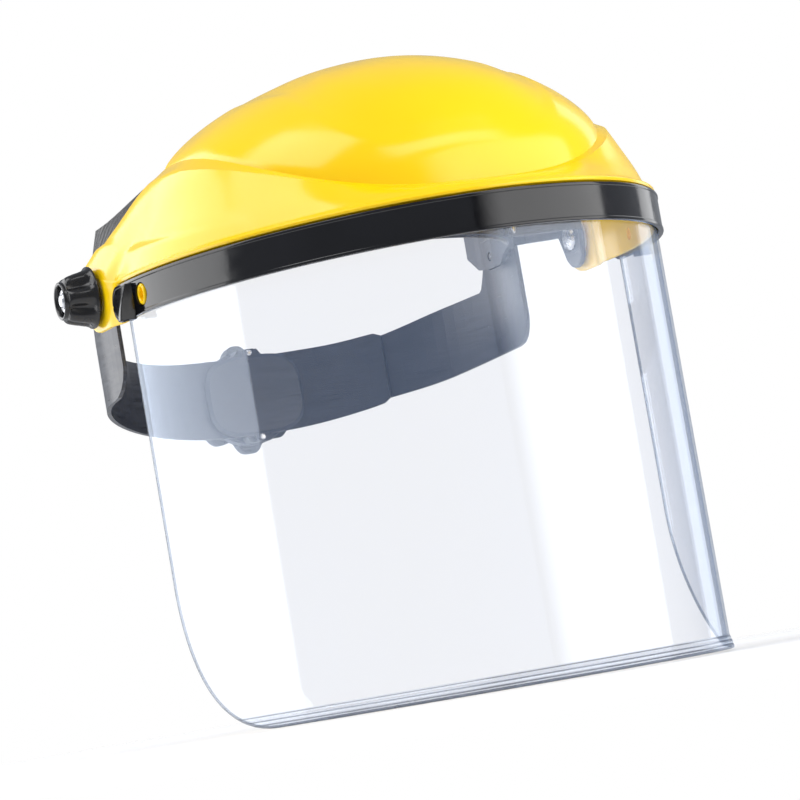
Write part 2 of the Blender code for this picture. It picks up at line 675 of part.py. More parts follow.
def build_side_bracket(side, label):
    """Bridge that stands off the ring and carries the tilt bolt."""
    foot = LUG_THICK / 2 + GAP
    rear_foot = [band_point(band_angle(y * MM), foot) for y in (25.0, 22.0, 19.0)]
    front_foot = [band_point(band_angle(y * MM), foot) for y in (-13.0, -16.5, -20.5)]
    corners = [(94.5, 15.8), (100.0, 14.6), (105.5, 13.3), (109.0, 11.4), (110.4, 8.0), (110.4, 4.0),
               (110.4, 0.0), (110.4, -4.0), (110.4, -8.0), (109.0, -11.4), (105.5, -13.6), (97.0, -14.6),
               (88.0, -14.2), (80.5, -12.6)]
    path = rear_foot + [(x * MM, y * MM) for x, y in corners] + front_foot
    path = [(side * x, y) for x, y in path]

    def heights(i):
        x, y = path[i]
        bulge = max(1 - (y / (11.4 * MM)) ** 2, 0.0) if abs(x) > 108 * MM else 0.0
        top = BRACKET_TOP + (LUG_TOP - BRACKET_TOP) * smoothstep(abs(x), 98 * MM, 105 * MM)
        return BRACKET_BOTTOM + (LUG_BOTTOM - BRACKET_BOTTOM) * math.sqrt(bulge), top

    bracket = make_object(f"side_bracket_{label}", *ribbon(path, LUG_THICK, heights), "black_satin")
    hole = rod((side * 104 * MM, 0, 0), (side * 116 * MM, 0, 0), BOLT_RADIUS + GAP)
    boolean(bracket, make_helper(f"lug_hole_{label}", *hole))
    for k, (y, z) in enumerate(RIVETS):
        hole = ring_hole(side, y * MM, z * MM, RIVET_RADIUS + GAP, -6 * MM, 6 * MM)
        boolean(bracket, make_helper(f"foot_hole_{label}_{k}", *hole))


def headed_pin(start, end, radius, head_radius, head, count=14, both=False):
    """Pin from start to end with a domed head at its outer end."""
    start, end = Vector(start), Vector(end)
    axis = (end - start).normalized()
    turn = axis.to_track_quat("Z", "Y").to_matrix()
    length = (end - start).length
    rings = [(0.0, radius), (length, radius), (length, head_radius), (length + head * 0.5, head_radius),
             (length + head, head_radius * 0.6)]
    if both:
        rings = [(-head, head_radius), (0.0, head_radius)] + rings
    points = []
    for distance, r in rings:
        points.append([
            start + turn @ Vector((math.cos(a) * r, math.sin(a) * r, distance))
            for a in np.linspace(0, math.tau, count, endpoint=False)
        ])
    return sweep(points)


def build_bracket_rivets(side, label):
    for (y, z), place in zip(RIVETS, ("front", "rear")):
        angle = side * band_angle(y * MM)
        start = (*band_point(angle, -BAND_THICK + 0.1 * MM), z * MM)
        end = (*band_point(angle, LUG_THICK + 4 * GAP), z * MM)
        rivet = headed_pin(start, end, RIVET_RADIUS, 2.8 * MM, 0.9 * MM)
        make_object(f"bracket_rivet_{label}_{place}", *rivet, "steel")


def build_sweatband():
    """Soft pad that lines the front of the forehead band."""
    angles = np.linspace(-70, 70, 27)

    def heights(angle):
        end = smoothstep(abs(angle), 60, 70)
        return 1 * MM + 8 * MM * end, 37 * MM - 9 * MM * end

    grids = []
    for offset in (-BAND_THICK - 0.5 * MM, -BAND_THICK - 6.5 * MM):
        rows = []
        for t in (0.0, 0.12, 0.5, 0.88, 1.0):
            pull = 1.8 * MM if t in (0.0, 1.0) and offset < -5 * MM else 0.0
            row = []
            for angle in angles:
                bottom, top = heights(angle)
                thin = 3.5 * MM * smoothstep(abs(angle), 58, 70) if offset < -5 * MM else 0.0
                row.append((*band_point(angle, offset + pull + thin), bottom + (top - bottom) * t))
            rows.append(row)
        grids.append(rows)
    make_object("sweatband", *shell(*grids), "foam")


# ---------------------------------------------------------------- crown strap

def crown_centre(x):
    """Centre line of the strap over the head at a given x."""
    rest = max(1 - (x / CROWN_SPAN) ** 2, 0.0)
    return np.array([x, (51 - 47 * rest**0.6) * MM, (27 + 45 * rest**1.05) * MM])


def crown_frames(x_from, x_to, count, raised):
    """Centre, width direction and outward direction along the strap."""
    along = CROWN_SPAN * np.sin(np.linspace(-math.pi / 2, math.pi / 2, 801))
    dense = np.array([crown_centre(x) for x in along])
    keep = dense[(dense[:, 0] >= min(x_from, x_to)) & (dense[:, 0] <= max(x_from, x_to))]
    centre = resample(keep, np.linspace(0, 1, count))
    tangent = np.gradient(centre, axis=0)
    tangent /= np.linalg.norm(tangent, axis=1)[:, None]
    outward = centre - np.array([0, 46, -8]) * MM
    outward -= tangent * (outward * tangent).sum(axis=1)[:, None]
    outward /= np.linalg.norm(outward, axis=1)[:, None]
    width = np.cross(tangent, outward)
    lift = np.array([raised(x) for x in centre[:, 0]])
    return centre + outward * lift[:, None], width, outward


def build_crown_strap(side, label):
    """One half of the strap: foot on the ring, free end past the middle."""
    outer_half = side > 0

    def raised(x):
        if not outer_half:
            return 0.0
        over_other = smoothstep(x, -46 * MM, -30 * MM) * (1 - smoothstep(x, 30 * MM, 52 * MM))
        return (CROWN_STRAP_THICK + 2 * GAP) * over_other

    x_range = (-CROWN_OVERLAP, CROWN_SPAN) if outer_half else (-CROWN_SPAN, CROWN_OVERLAP)
    centre, width, outward = crown_frames(*x_range, 27, raised)
    if not outer_half:
        centre, width, outward = centre[::-1], width[::-1], outward[::-1]
    # centre[-1] is at the ring: add the foot that lies flat on it
    half = CROWN_STRAP_WIDTH / 2
    grids = []
    for layer in (1, -1):
        rows = []
        for across in (-1, -0.5, 0.5, 1):
            row = []
            for i in range(len(centre)):
                point = centre[i] + width[i] * half * across
                row.append(point + outward[i] * CROWN_STRAP_THICK / 2 * layer)
            for z in (FOOT_TOP, FOOT_BOTTOM):
                y = RING_Y + across * half * (1 if width[-1][1] > 0 else -1)
                x, y = band_point(band_angle(y), GAP + CROWN_STRAP_THICK * (0.5 + 0.5 * layer))
                row.append(np.array([side * x, y, z]))
            rows.append(row)
        grids.append(rows)
    strap = make_object(f"crown_strap_{label}", *shell(*grids), "black_satin")
    for k in range(5):
        cutter = crown_pin_line((k - 2) * CROWN_HOLE_PITCH)
        boolean(strap, make_helper(f"crown_hole_{label}_{k}", *rod(*cutter, STUD_HOLE, 10)))
    hole = ring_hole(side, RING_Y, FOOT_STUD_Z, STUD_HOLE, -6 * MM, 5 * MM)
    boolean(strap, make_helper(f"crown_foot_hole_{label}", *hole))


def crown_pin_line(x, below=8 * MM, above=8 * MM):
    centre = crown_centre(x)
    ahead = crown_centre(x + 0.5 * MM) - crown_centre(x - 0.5 * MM)
    ahead /= np.linalg.norm(ahead)
    outward = centre - np.array([0, 46, -8]) * MM
    outward -= ahead * (outward @ ahead)
    outward /= np.linalg.norm(outward)
    return centre - outward * below, centre + outward * above


def build_crown_strap_pin(side, label):
    under = CROWN_STRAP_THICK / 2 + GAP
    over = CROWN_STRAP_THICK * 1.5 + 3 * GAP
    line = crown_pin_line(side * CROWN_HOLE_PITCH, under, over)
    pin = headed_pin(*line, STUD_RADIUS, 3.6 * MM, 1.0 * MM, both=True)
    make_object(f"crown_strap_pin_{label}", *pin, "black_gloss")


def build_strap_studs(side, label):
    """Studs that hold a crown strap's foot and the arm of a nape strap."""
    angle = side * band_angle(RING_Y)
    for place, z, reach in (("lower", ARM_STUD_Z, ARM_STUD_REACH), ("upper", FOOT_STUD_Z, FOOT_STUD_REACH)):
        start = (*band_point(angle, -BAND_THICK + 0.1 * MM), z)
        end = (*band_point(angle, reach), z)
        stud = headed_pin(start, end, STUD_RADIUS, 3.4 * MM, 1.0 * MM)
        make_object(f"strap_stud_{label}_{place}", *stud, "black_gloss")


# ---------------------------------------------------------------- nape straps

def nape_heights(angle):
    """Bottom and top of a nape strap at an angle from the middle of the nape."""
    a = abs(angle)
    bottom = -56.0 + 16.0 * smoothstep(a, 5, 95)
    top = -19.0 + 9.0 * smoothstep(a, 20, 85)
    arm = smoothstep(a, ARM_REAR_ANGLE - 5, ARM_REAR_ANGLE + 1.5)
    top += (ARM_TOP / MM - top) * arm
    front = max(a - (ARM_FRONT_ANGLE - 9.5), 0.0) / 9.5
    bottom += 15.0 * (1 - math.sqrt(max(1 - front**2, 0.0)))
    return bottom * MM, top * MM


def rack_outline(centre_z, toward, half_length):
    """Slot outline with rack teeth on one long edge.  toward is +1 when the
    teeth are on the upper edge, -1 when they are on the lower one."""
    pitch = math.tau * GEAR_PITCH_RADIUS / GEAR_TEETH
    tip = GEAR_PITCH_RADIUS - TOOTH_HEIGHT + 0.25 * MM
    root = GEAR_PITCH_RADIUS + TOOTH_HEIGHT + 0.35 * MM
    plain = GEAR_PITCH_RADIUS + TOOTH_HEIGHT + 0.8 * MM
    slope = math.tan(math.radians(20))
    count = int(half_length // pitch)
    points = []
    # a gear tooth points straight at the rack, so a rack gap sits at x = 0
    for k in range(-count, count):
        x = (k + 0.5) * pitch
        at_tip = pitch / 4 - TOOTH_HEIGHT * slope - TOOTH_BACKLASH / 2
        at_root = pitch / 4 + TOOTH_HEIGHT * slope - TOOTH_BACKLASH / 2
        points += [(x - at_root, root), (x - at_tip, tip), (x + at_tip, tip), (x + at_root, root)]
    outline = [(x, centre_z + toward * r) for x, r in points]
    end = half_length
    outline += [(end, centre_z + toward * root), (end, centre_z - toward * plain),
                (-end, centre_z - toward * plain), (-end, centre_z + toward * root)]
    return outline


def build_nape_strap(side, label, parent):
    """L-shaped strap: upright arm at the temple, toothed tail behind the head."""
    inner = INNER_STRAP_RADIUS if side < 0 else OUTER_STRAP_RADIUS
    radii = (inner + STRAP_THICK, inner)
    angles = np.r_[np.linspace(-STRAP_OVERLAP_ANGLE, -STRAP_OVERLAP_ANGLE + 2, 2),
                   np.linspace(-STRAP_OVERLAP_ANGLE + 5, ARM_REAR_ANGLE - 5, 30),
                   np.linspace(ARM_REAR_ANGLE - 4, ARM_REAR_ANGLE + 2, 5),
                   np.linspace(ARM_REAR_ANGLE + 6, ARM_FRONT_ANGLE - 10, 3),
                   ARM_FRONT_ANGLE - 10 + 9.9 * np.sin(np.radians([20, 40, 60, 78, 90]))]
    narrow = 0.0 if side < 0 else 2.5 * MM
    grids = []
    for radius in radii:
        rows = []
        for t in (0.0, 0.5, 1.0):
            row = []
            for angle in angles:
                bottom, top = nape_heights(angle)
                slim = narrow * (1 - smoothstep(angle, 30, 60))
                bottom, top = bottom + slim, top - slim
                end = smoothstep(-angle, STRAP_OVERLAP_ANGLE - 2.5, STRAP_OVERLAP_ANGLE) * 2 * MM
                bottom, top = bottom + end, top - end
                a = math.radians(angle)
                row.append((side * radius * math.sin(a), RING_Y + radius * math.cos(a),
                            bottom + (top - bottom) * t))
            rows.append(row)
        grids.append(rows)
    strap = make_object(f"nape_strap_{label}", *shell(*grids), "black_satin",
                        origin=(0, RING_Y, 0), parent=parent)
    toward = 1 if side < 0 else -1
    slot = prism_y(rack_outline(RATCHET_Z, toward, SLOT_HALF_LENGTH), 130 * MM, 160 * MM)
    boolean(strap, make_helper(f"rack_slot_{label}", *slot))
    # level slot in the arm, long enough for the strap's travel round the stud
    outline = []
    for a in np.radians(np.arange(-82.5, 270, 15)):
        end = math.copysign(ARM_SLOT_HALF, math.cos(a))
        y = RING_Y + end + ARM_SLOT_RADIUS * math.cos(a)
        outline.append((y, ARM_STUD_Z + ARM_SLOT_RADIUS * math.sin(a)))
    rings = [[(x * side, y, z) for y, z in outline] for x in (85 * MM, 105 * MM)]
    boolean(strap, make_helper(f"arm_slot_{label}", *sweep(rings)))


# ---------------------------------------------------------------- ratchet

def gear_radius(pitch_radius, teeth, phase):
    tip = pitch_radius + TOOTH_HEIGHT - 0.1 * MM
    root = pitch_radius - TOOTH_HEIGHT - 0.1 * MM

    def radius(angle):
        turn = ((angle - phase) / math.tau * teeth + 0.5) % 1.0 - 0.5
        return root + (tip - root) * (1 - smoothstep(abs(turn), 0.13, 0.34))
    return radius


def build_ratchet_covers():
    centre = (0, 0, RATCHET_Z)
    y0, y1 = 139.4 * MM, 142.2 * MM

    def plate(y, shrink):
        ring = []
        for a in np.radians(np.arange(0, 360, 10)):
            across, up = math.cos(a), math.sin(a)
            x = math.copysign(abs(across) ** 0.6, across) * (COVER_HALF_WIDTH - shrink)
            z = math.copysign(abs(up) ** 0.6, up) * (COVER_HALF_HEIGHT - shrink)
            ring.append((x, y, RATCHET_Z + z))
        return ring

    solid = sweep([plate(y0, 1.5 * MM), plate(y0 + 1.2 * MM, 0.0), plate(y1, 0.0)])
    cover = make_object("ratchet_inner_cover", *solid, "black_satin")
    back0, back1, rim_end = 150.4 * MM, 152.0 * MM, 157.4 * MM
    rim = HOUSING_RADIUS - HOUSING_WALL
    hub = 4.6 * MM

    def toothed(angle):
        return rim - 1.0 * MM * ((angle / math.tau * HOUSING_TEETH) % 1.0)

    rings = [(back0, HOUSING_RADIUS - 0.6 * MM), (back0 + 0.8 * MM, HOUSING_RADIUS),
             (rim_end, HOUSING_RADIUS), (rim_end, toothed), (back1, toothed), (back1, hub), (back0, hub)]
    solid = turned("Y", centre, rings, 4 * HOUSING_TEETH, bored=True)
    housing = make_object("ratchet_housing", *solid, "black_satin")
    for k, sign in enumerate((-1, 1)):
        z_far = RATCHET_Z + sign * 21.9 * MM
        z_near = RATCHET_Z + sign * 18.9 * MM
        outline = [(-7 * MM, z_near), (7 * MM, z_near), (5 * MM, z_far), (-5 * MM, z_far)]
        boss = prism_y(outline, y1 + GAP, back0 + 1.0 * MM)
        boolean(housing, make_helper(f"housing_boss_{k}", *boss), "UNION")
        ear = prism_y([(-4 * MM, RATCHET_Z + sign * 17 * MM), (4 * MM, RATCHET_Z + sign * 17 * MM),
                       (2.6 * MM, z_far), (-2.6 * MM, z_far)], y0 + 0.6 * MM, y1)
        boolean(cover, make_helper(f"cover_ear_{k}", *ear), "UNION")
        z = RATCHET_Z + sign * 20.1 * MM
        boolean(housing, make_helper(f"boss_hole_{k}", *rod((0, 140 * MM, z), (0, 149 * MM, z), 0.85 * MM, 11)))
        boolean(cover, make_helper(f"cover_hole_{k}", *rod((0, 130 * MM, z), (0, 149 * MM, z), 0.85 * MM, 11)))
        screw = headed_pin((0, 147 * MM, z), (0, y0 + 0.6 * MM - GAP, z), 0.6 * MM, 1.5 * MM, 0.8 * MM, 12)
        make_object(f"housing_screw_{'lower' if sign < 0 else 'upper'}", *screw, "steel")


def build_ratchet_drive(parent):
    centre = (0, 0, RATCHET_Z)
    origin = (0, 150 * MM, RATCHET_Z)
    bore = 1.5 * MM
    teeth = gear_radius(GEAR_PITCH_RADIUS, GEAR_TEETH, math.pi / 2)
    shaft = 4.2 * MM
    gear_start, gear_end, shaft_end = 144.4 * MM, 150.1 * MM, 156.9 * MM
    rings = [(gear_start, teeth), (gear_end, teeth), (gear_end, shaft), (shaft_end, shaft),
             (shaft_end, bore), (gear_start, bore)]
    make_object("pinion_gear", *turned("Y", centre, rings, 6 * GEAR_TEETH, bored=True), "acetal",
                origin=origin, parent=parent)

    arms = 3
    hub = 7.0 * MM
    tip = HOUSING_RADIUS - HOUSING_WALL - 1.5 * MM

    def pawl(angle):
        turn = (angle / math.tau * arms) % 1.0
        return hub + (tip - hub) * smoothstep(turn, 0.45, 0.9) * (1 - smoothstep(turn, 0.93, 1.0))

    rings = [(152.5 * MM, pawl), (154.5 * MM, pawl), (154.5 * MM, shaft + GAP), (152.5 * MM, shaft + GAP)]
    make_object("pawl_spring", *turned("Y", centre, rings, 48, bored=True), "acetal",
                origin=origin, parent=parent)

    start, end = 157.9 * MM, 168.5 * MM
    phase = -math.pi / 2

    def lobed(radius, depth):
        return knob_radius(radius * MM, depth * MM, RATCHET_KNOB_LOBES, phase)

    outer = RATCHET_KNOB_RADIUS / MM
    rings = [(start, lobed(outer - 0.5, 5.0)), (start + 0.8 * MM, lobed(outer, 5.2)),
             (end - 3.0 * MM, lobed(outer - 0.4, 5.2)), (end - 1.0 * MM, lobed(outer - 2.2, 4.8)),
             (end, lobed(outer - 5.5, 4.0)), (end, 12 * MM), (end - 1.2 * MM, 10.5 * MM),
             (end - 1.2 * MM, bore), (start, bore)]
    solid = turned("Y", centre, rings, 8 * RATCHET_KNOB_LOBES, bored=True)
    make_object("ratchet_knob", *solid, "black_gloss", origin=origin, parent=parent)
    shank = (0, end - 4 * MM, RATCHET_Z), (0, gear_start - GAP, RATCHET_Z)
    screw = headed_pin(*shank, 1.2 * MM, 3.2 * MM, 1.4 * MM)
    make_object("ratchet_screw", *screw, "steel", origin=origin, parent=parent)


# ---------------------------------------------------------------- assembly

def build():
    clear_scene()
    shield = empty("shield_tilt_axis", (0, 0, 0))
    build_brow_guard(shield)
    build_visor_strip(shield)
    build_visor_panel(shield)
    build_forehead_band()
    build_sweatband()
    for side, label in ((-1, "right"), (1, "left")):
        knob_axis = empty(f"side_knob_axis_{label}", (side * KNOB_START_X, 0, 0))
        build_side_knob(side, label, knob_axis)
        build_tilt_bolt(side, label)
        build_washers(side, label, shield)
        build_side_bracket(side, label)
        build_bracket_rivets(side, label)
        build_crown_strap(side, label)
        build_crown_strap_pin(side, label)
        build_strap_studs(side, label)
        strap_axis = empty(f"nape_strap_axis_{label}", (0, RING_Y, 0))
        build_nape_strap(side, label, strap_axis)
    build_ratchet_covers()
    build_ratchet_drive(empty("ratchet_axis", (0, 150 * MM, RATCHET_Z)))


build()
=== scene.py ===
"""Looks for the head-worn face shield: finer shells, materials, light and camera.

Row frame: origin midway between the tilt bolts, +X to the wearer's left, -Y forward,
+Z up.  Lengths are in metres.
"""

import math

import bmesh
import bpy
import numpy as np
from mathutils import Matrix, Vector


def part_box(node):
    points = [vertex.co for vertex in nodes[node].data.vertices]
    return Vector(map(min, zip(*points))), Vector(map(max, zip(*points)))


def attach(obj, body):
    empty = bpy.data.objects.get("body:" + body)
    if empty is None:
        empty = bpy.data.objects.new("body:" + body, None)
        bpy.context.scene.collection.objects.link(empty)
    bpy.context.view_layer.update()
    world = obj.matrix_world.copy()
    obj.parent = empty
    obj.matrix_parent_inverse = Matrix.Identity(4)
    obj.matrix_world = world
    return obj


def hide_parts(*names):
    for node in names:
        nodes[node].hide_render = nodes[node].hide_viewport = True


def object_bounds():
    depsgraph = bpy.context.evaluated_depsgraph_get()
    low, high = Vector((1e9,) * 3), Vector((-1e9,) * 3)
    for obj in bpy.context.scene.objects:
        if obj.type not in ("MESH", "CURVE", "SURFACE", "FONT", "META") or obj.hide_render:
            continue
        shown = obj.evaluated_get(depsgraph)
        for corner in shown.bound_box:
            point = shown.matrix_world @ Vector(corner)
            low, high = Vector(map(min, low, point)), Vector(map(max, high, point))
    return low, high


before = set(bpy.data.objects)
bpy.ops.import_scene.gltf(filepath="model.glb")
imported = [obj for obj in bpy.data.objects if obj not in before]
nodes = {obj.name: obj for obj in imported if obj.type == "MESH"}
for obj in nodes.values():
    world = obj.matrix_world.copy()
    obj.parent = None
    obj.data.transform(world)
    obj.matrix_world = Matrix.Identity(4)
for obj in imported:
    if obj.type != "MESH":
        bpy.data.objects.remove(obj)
cad_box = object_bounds()
MM = 0.001
WELD_DISTANCE = 0.004 * MM
CAD_WELD_DISTANCE = 0.002 * MM
ROD_SIDES = 40
RIM_STEPS = 2000

# The rim and the sheets along it, as the CAD model has them
RIM_HALF_WIDTH = 116.5 * MM
RIM_DEPTH = 151.0 * MM
RIM_POWER = 1.9
RIM_START_Y = -36.0 * MM
STRIP_END_Y = -27.0 * MM
STRIP_TOP = -1.0 * MM
STRIP_BOTTOM = -16.2 * MM
STRIP_THICK = 2.4 * MM
GAP = 0.3 * MM
PEG_Y = -60.0 * MM
PEG_Z = -8.6 * MM
PEG_RADIUS = 4.3 * MM
PEG_BORE = 2.8 * MM
BOLT_HOLE = 3.3 * MM
VISOR_INSET = STRIP_THICK + GAP
VISOR_THICK = 1.0 * MM
VISOR_CORNER = 64.0 * MM
EDGE_BEAD = 0.62 * MM
GUARD_INSET = VISOR_INSET + VISOR_THICK + GAP
GUARD_THICK = 2.3 * MM
EAR_RADIUS = 15.0 * MM
EAR_INSET = 1.5 * MM
RIDGE_HALF_WIDTH = 95.0 * MM
RIDGE_REAR_Y = -35.0 * MM
RIDGE_FRONT_Y = -161.0 * MM
RIDGE_FRONT_Z = 7.0 * MM
RIDGE_REAR_Z = 40.0 * MM
RIDGE_POWER = 2.35
DOME_TOP = np.array([0.0, -49.0, 77.6]) * MM
DOME_HEART = np.array([0.0, -49.0, 8.0]) * MM

# The fine guard: its wall, the lip over the strip, and the depth of the pressed lines
WALL_FOOT = -15 * MM
WALL_TOP = -0.8 * MM
EAR_RISE = 12.0 * MM
LIP_PROUD = 3.0 * MM
# (share of the lip's height, share of how far it stands proud)
LIP_SECTION = ((0.0, 0.75), (0.12, 0.93), (0.3, 1.0), (0.65, 1.0), (0.85, 0.9), (1.0, 0.68))
WALL_ROW = 4  # the last row of the wall in a column
LIP_ROWS = 13  # the rows of wall and lip together
PANEL_BELLY = 1.5 * MM
PANEL_STEP = 1.5 * MM
DOME_STEP = 0.75 * MM

# Fine ribs round the ratchet knob
RIBS = 96
RIB_DEPTH = 0.22 * MM

# Angles in degrees above which an edge is shaded hard
GUARD_SHARP = 32
STRIP_SHARP = 30
VISOR_SHARP = 28
SIDES = ((-1, "right"), (1, "left"))

VISOR_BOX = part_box("visor_panel")
KNOB_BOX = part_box("side_knob_left")
BAND_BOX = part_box("sweatband")
VISOR_FOOT = VISOR_BOX[0].z


# ---------------------------------------------------------------- helpers

def smoothstep(value, low, high):
    """0 below low, 1 above high, and a smooth rise between them."""
    t = np.clip((value - low) / (high - low), 0.0, 1.0)
    return t * t * (3 - 2 * t)


def resample(points, fractions):
    """Points at fractions of a polyline's length."""
    lengths = np.r_[0, np.cumsum(np.linalg.norm(np.diff(points, axis=0), axis=1))]
    wanted = np.asarray(fractions) * lengths[-1]
    return np.stack([np.interp(wanted, lengths, line) for line in points.T], 1)


def rim_points(end_y, fractions, inset=0.0):
    """Plan points of the rim from right end to left end, moved inward by inset, which may
    be a function of y; and the inward directions there."""
    angle = np.linspace(math.pi, 0, 1441)
    cos, sin = np.cos(angle), np.sin(angle)
    x = RIM_HALF_WIDTH * np.sign(cos) * np.abs(cos) ** (2 / RIM_POWER)
    y = RIM_START_Y - RIM_DEPTH * np.abs(sin) ** (2 / RIM_POWER)
    tail = np.linspace(end_y, RIM_START_Y, 40, endpoint=False)
    right = np.stack([np.full(len(tail), -RIM_HALF_WIDTH), tail], 1)
    line = np.vstack([right, np.stack([x, y], 1), right[::-1] * [-1, 1]])
    plan = resample(line, fractions)
    index = np.linspace(0, 1, RIM_STEPS + 1)
    tangent = np.gradient(resample(line, index), axis=0)
    normal = np.stack([-tangent[:, 1], tangent[:, 0]], 1)
    for _ in range(6):
        normal[1:-1] = (normal[:-2] + normal[1:-1] + normal[2:]) / 3
    normal /= np.linalg.norm(normal, axis=1)[:, None]
    inward = np.stack([np.interp(fractions, index, normal[:, i]) for i in range(2)], 1)
    depth = inset(plan[:, 1]) if callable(inset) else inset
    return plan + inward * np.reshape(depth, (-1, 1)), inward


def rim_length(end_y):
    """Length of the rim in plan between its ends at end_y."""
    plan, _ = rim_points(end_y, np.linspace(0, 1, 1201))
    return float(np.linalg.norm(np.diff(plan, axis=0), axis=1).sum())


def rim_x(y, inset):
    """Half width of the rim at y, moved inward by inset."""
    plan, _ = rim_points(STRIP_END_Y, np.linspace(0, 0.5, 801), inset)
    return float(np.interp(-y, -plan[:, 1], -plan[:, 0]))


def shade(mesh, sharp):
    """Smooth shading, with a hard line where faces meet at more than sharp degrees."""
    mesh.shade_smooth()
    mesh.set_sharp_from_angle(angle=math.radians(sharp))


def mesh_object(name, verts, faces, sharp=35):
    """New object from points and faces, with close points joined and its faces outward."""
    mesh = bpy.data.meshes.new(name)
    mesh.from_pydata([Vector(v) for v in verts], [], faces)
    bm = bmesh.new()
    bm.from_mesh(mesh)
    bmesh.ops.remove_doubles(bm, verts=bm.verts, dist=WELD_DISTANCE)
    bmesh.ops.recalc_face_normals(bm, faces=bm.faces)
    bm.to_mesh(mesh)
    bm.free()
    shade(mesh, sharp)
    obj = bpy.data.objects.new(name, mesh)
    bpy.context.scene.collection.objects.link(obj)
    return obj


def ring_faces(i, n, count):
    """Quads that join ring i of count points to ring n."""
    return [[i * count + j, i * count + k, n * count + k, n * count + j]
            for j, k in enumerate([*range(1, count), 0])]


def loop_shell(layers):
    """Closed body from rings of points: layers is (rings, points, 3), closed round
    the points, capped at the first and last ring."""
    layers = np.asarray(layers)
    rings, count = layers.shape[:2]
    faces = []
    for i in range(rings - 1):
        faces += ring_faces(i, i + 1, count)
    faces.append(list(range(count)))
    faces.append([(rings - 1) * count + j for j in range(count)])
    return layers.reshape(-1, 3), faces


def turned(axis, centre, rings, count, sign=1.0):
    """Body of revolution whose section is a closed loop of (distance along the axis,
    radius); a radius may be a function of the angle."""
    along = np.eye(3)["XYZ".index(axis)]
    side = np.array((0, 1, 0) if axis == "X" else (1, 0, 0), float)
    third = np.cross(along, side)
    angles = np.linspace(0, math.tau, count, endpoint=False)
    points = []
    spokes = np.outer(np.cos(angles), side) + np.outer(np.sin(angles), third)
    for distance, radius in rings:
        r = np.array([radius(a) for a in angles]) if callable(radius) else np.full(count, radius)
        points.append(np.asarray(centre) + along * distance * sign + spokes * r[:, None])
    faces = []
    for i in range(len(points)):
        faces += ring_faces(i, (i + 1) % len(points), count)
    return np.concatenate(points), faces


def rod(start, end, radius):
    """Plain round bar, used to cut holes."""
    start, end = Vector(start), Vector(end)
    turn = (end - start).to_track_quat("Z", "Y").to_matrix()
    angles = np.linspace(0, math.tau, ROD_SIDES, endpoint=False)
    return loop_shell([[p + turn @ Vector((math.cos(a) * radius, math.sin(a) * radius, 0))
                        for a in angles] for p in (start, end)])


def peg_holes(radius):
    """Bars through the rim where the guard's two pegs pass."""
    return [rod((side * 100 * MM, PEG_Y, PEG_Z), (side * 124 * MM, PEG_Y, PEG_Z), radius)
            for side, _ in SIDES]


def cut(obj, bodies, sharp):
    """Take plain bodies away from obj, apply that, and shade the result again."""
    for verts, faces in bodies:
        helper = mesh_object("helper", verts, faces)
        modifier = obj.modifiers.new("cut", "BOOLEAN")
        modifier.operation = "DIFFERENCE"
        modifier.object = helper
        graph = bpy.context.evaluated_depsgraph_get()
        mesh = bpy.data.meshes.new_from_object(obj.evaluated_get(graph))
        obj.modifiers.clear()
        obj.data = mesh
        bpy.data.objects.remove(helper, do_unlink=True)
    shade(obj.data, sharp)


def soften(obj, width, segments, angle):
    """Rounded edges of a given width where faces meet at more than angle degrees."""
    modifier = obj.modifiers.new("rounded edges", "BEVEL")
    modifier.width = width
    modifier.segments = segments
    modifier.limit_method = "ANGLE"
    modifier.angle_limit = math.radians(angle)
    modifier.harden_normals = False
    weighted = obj.modifiers.new("even shading", "WEIGHTED_NORMAL")
    weighted.keep_sharp = True


def finish_piece(obj, body, slot, material, *replaced):
    """Material, body and replaced CAD nodes of a fine piece; the slot argument is not used."""
    obj.data.materials.clear()
    obj.data.materials.append(material)
    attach(obj, body)
    if replaced:
        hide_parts(*replaced)
    return obj


# ---------------------------------------------------------------- materials

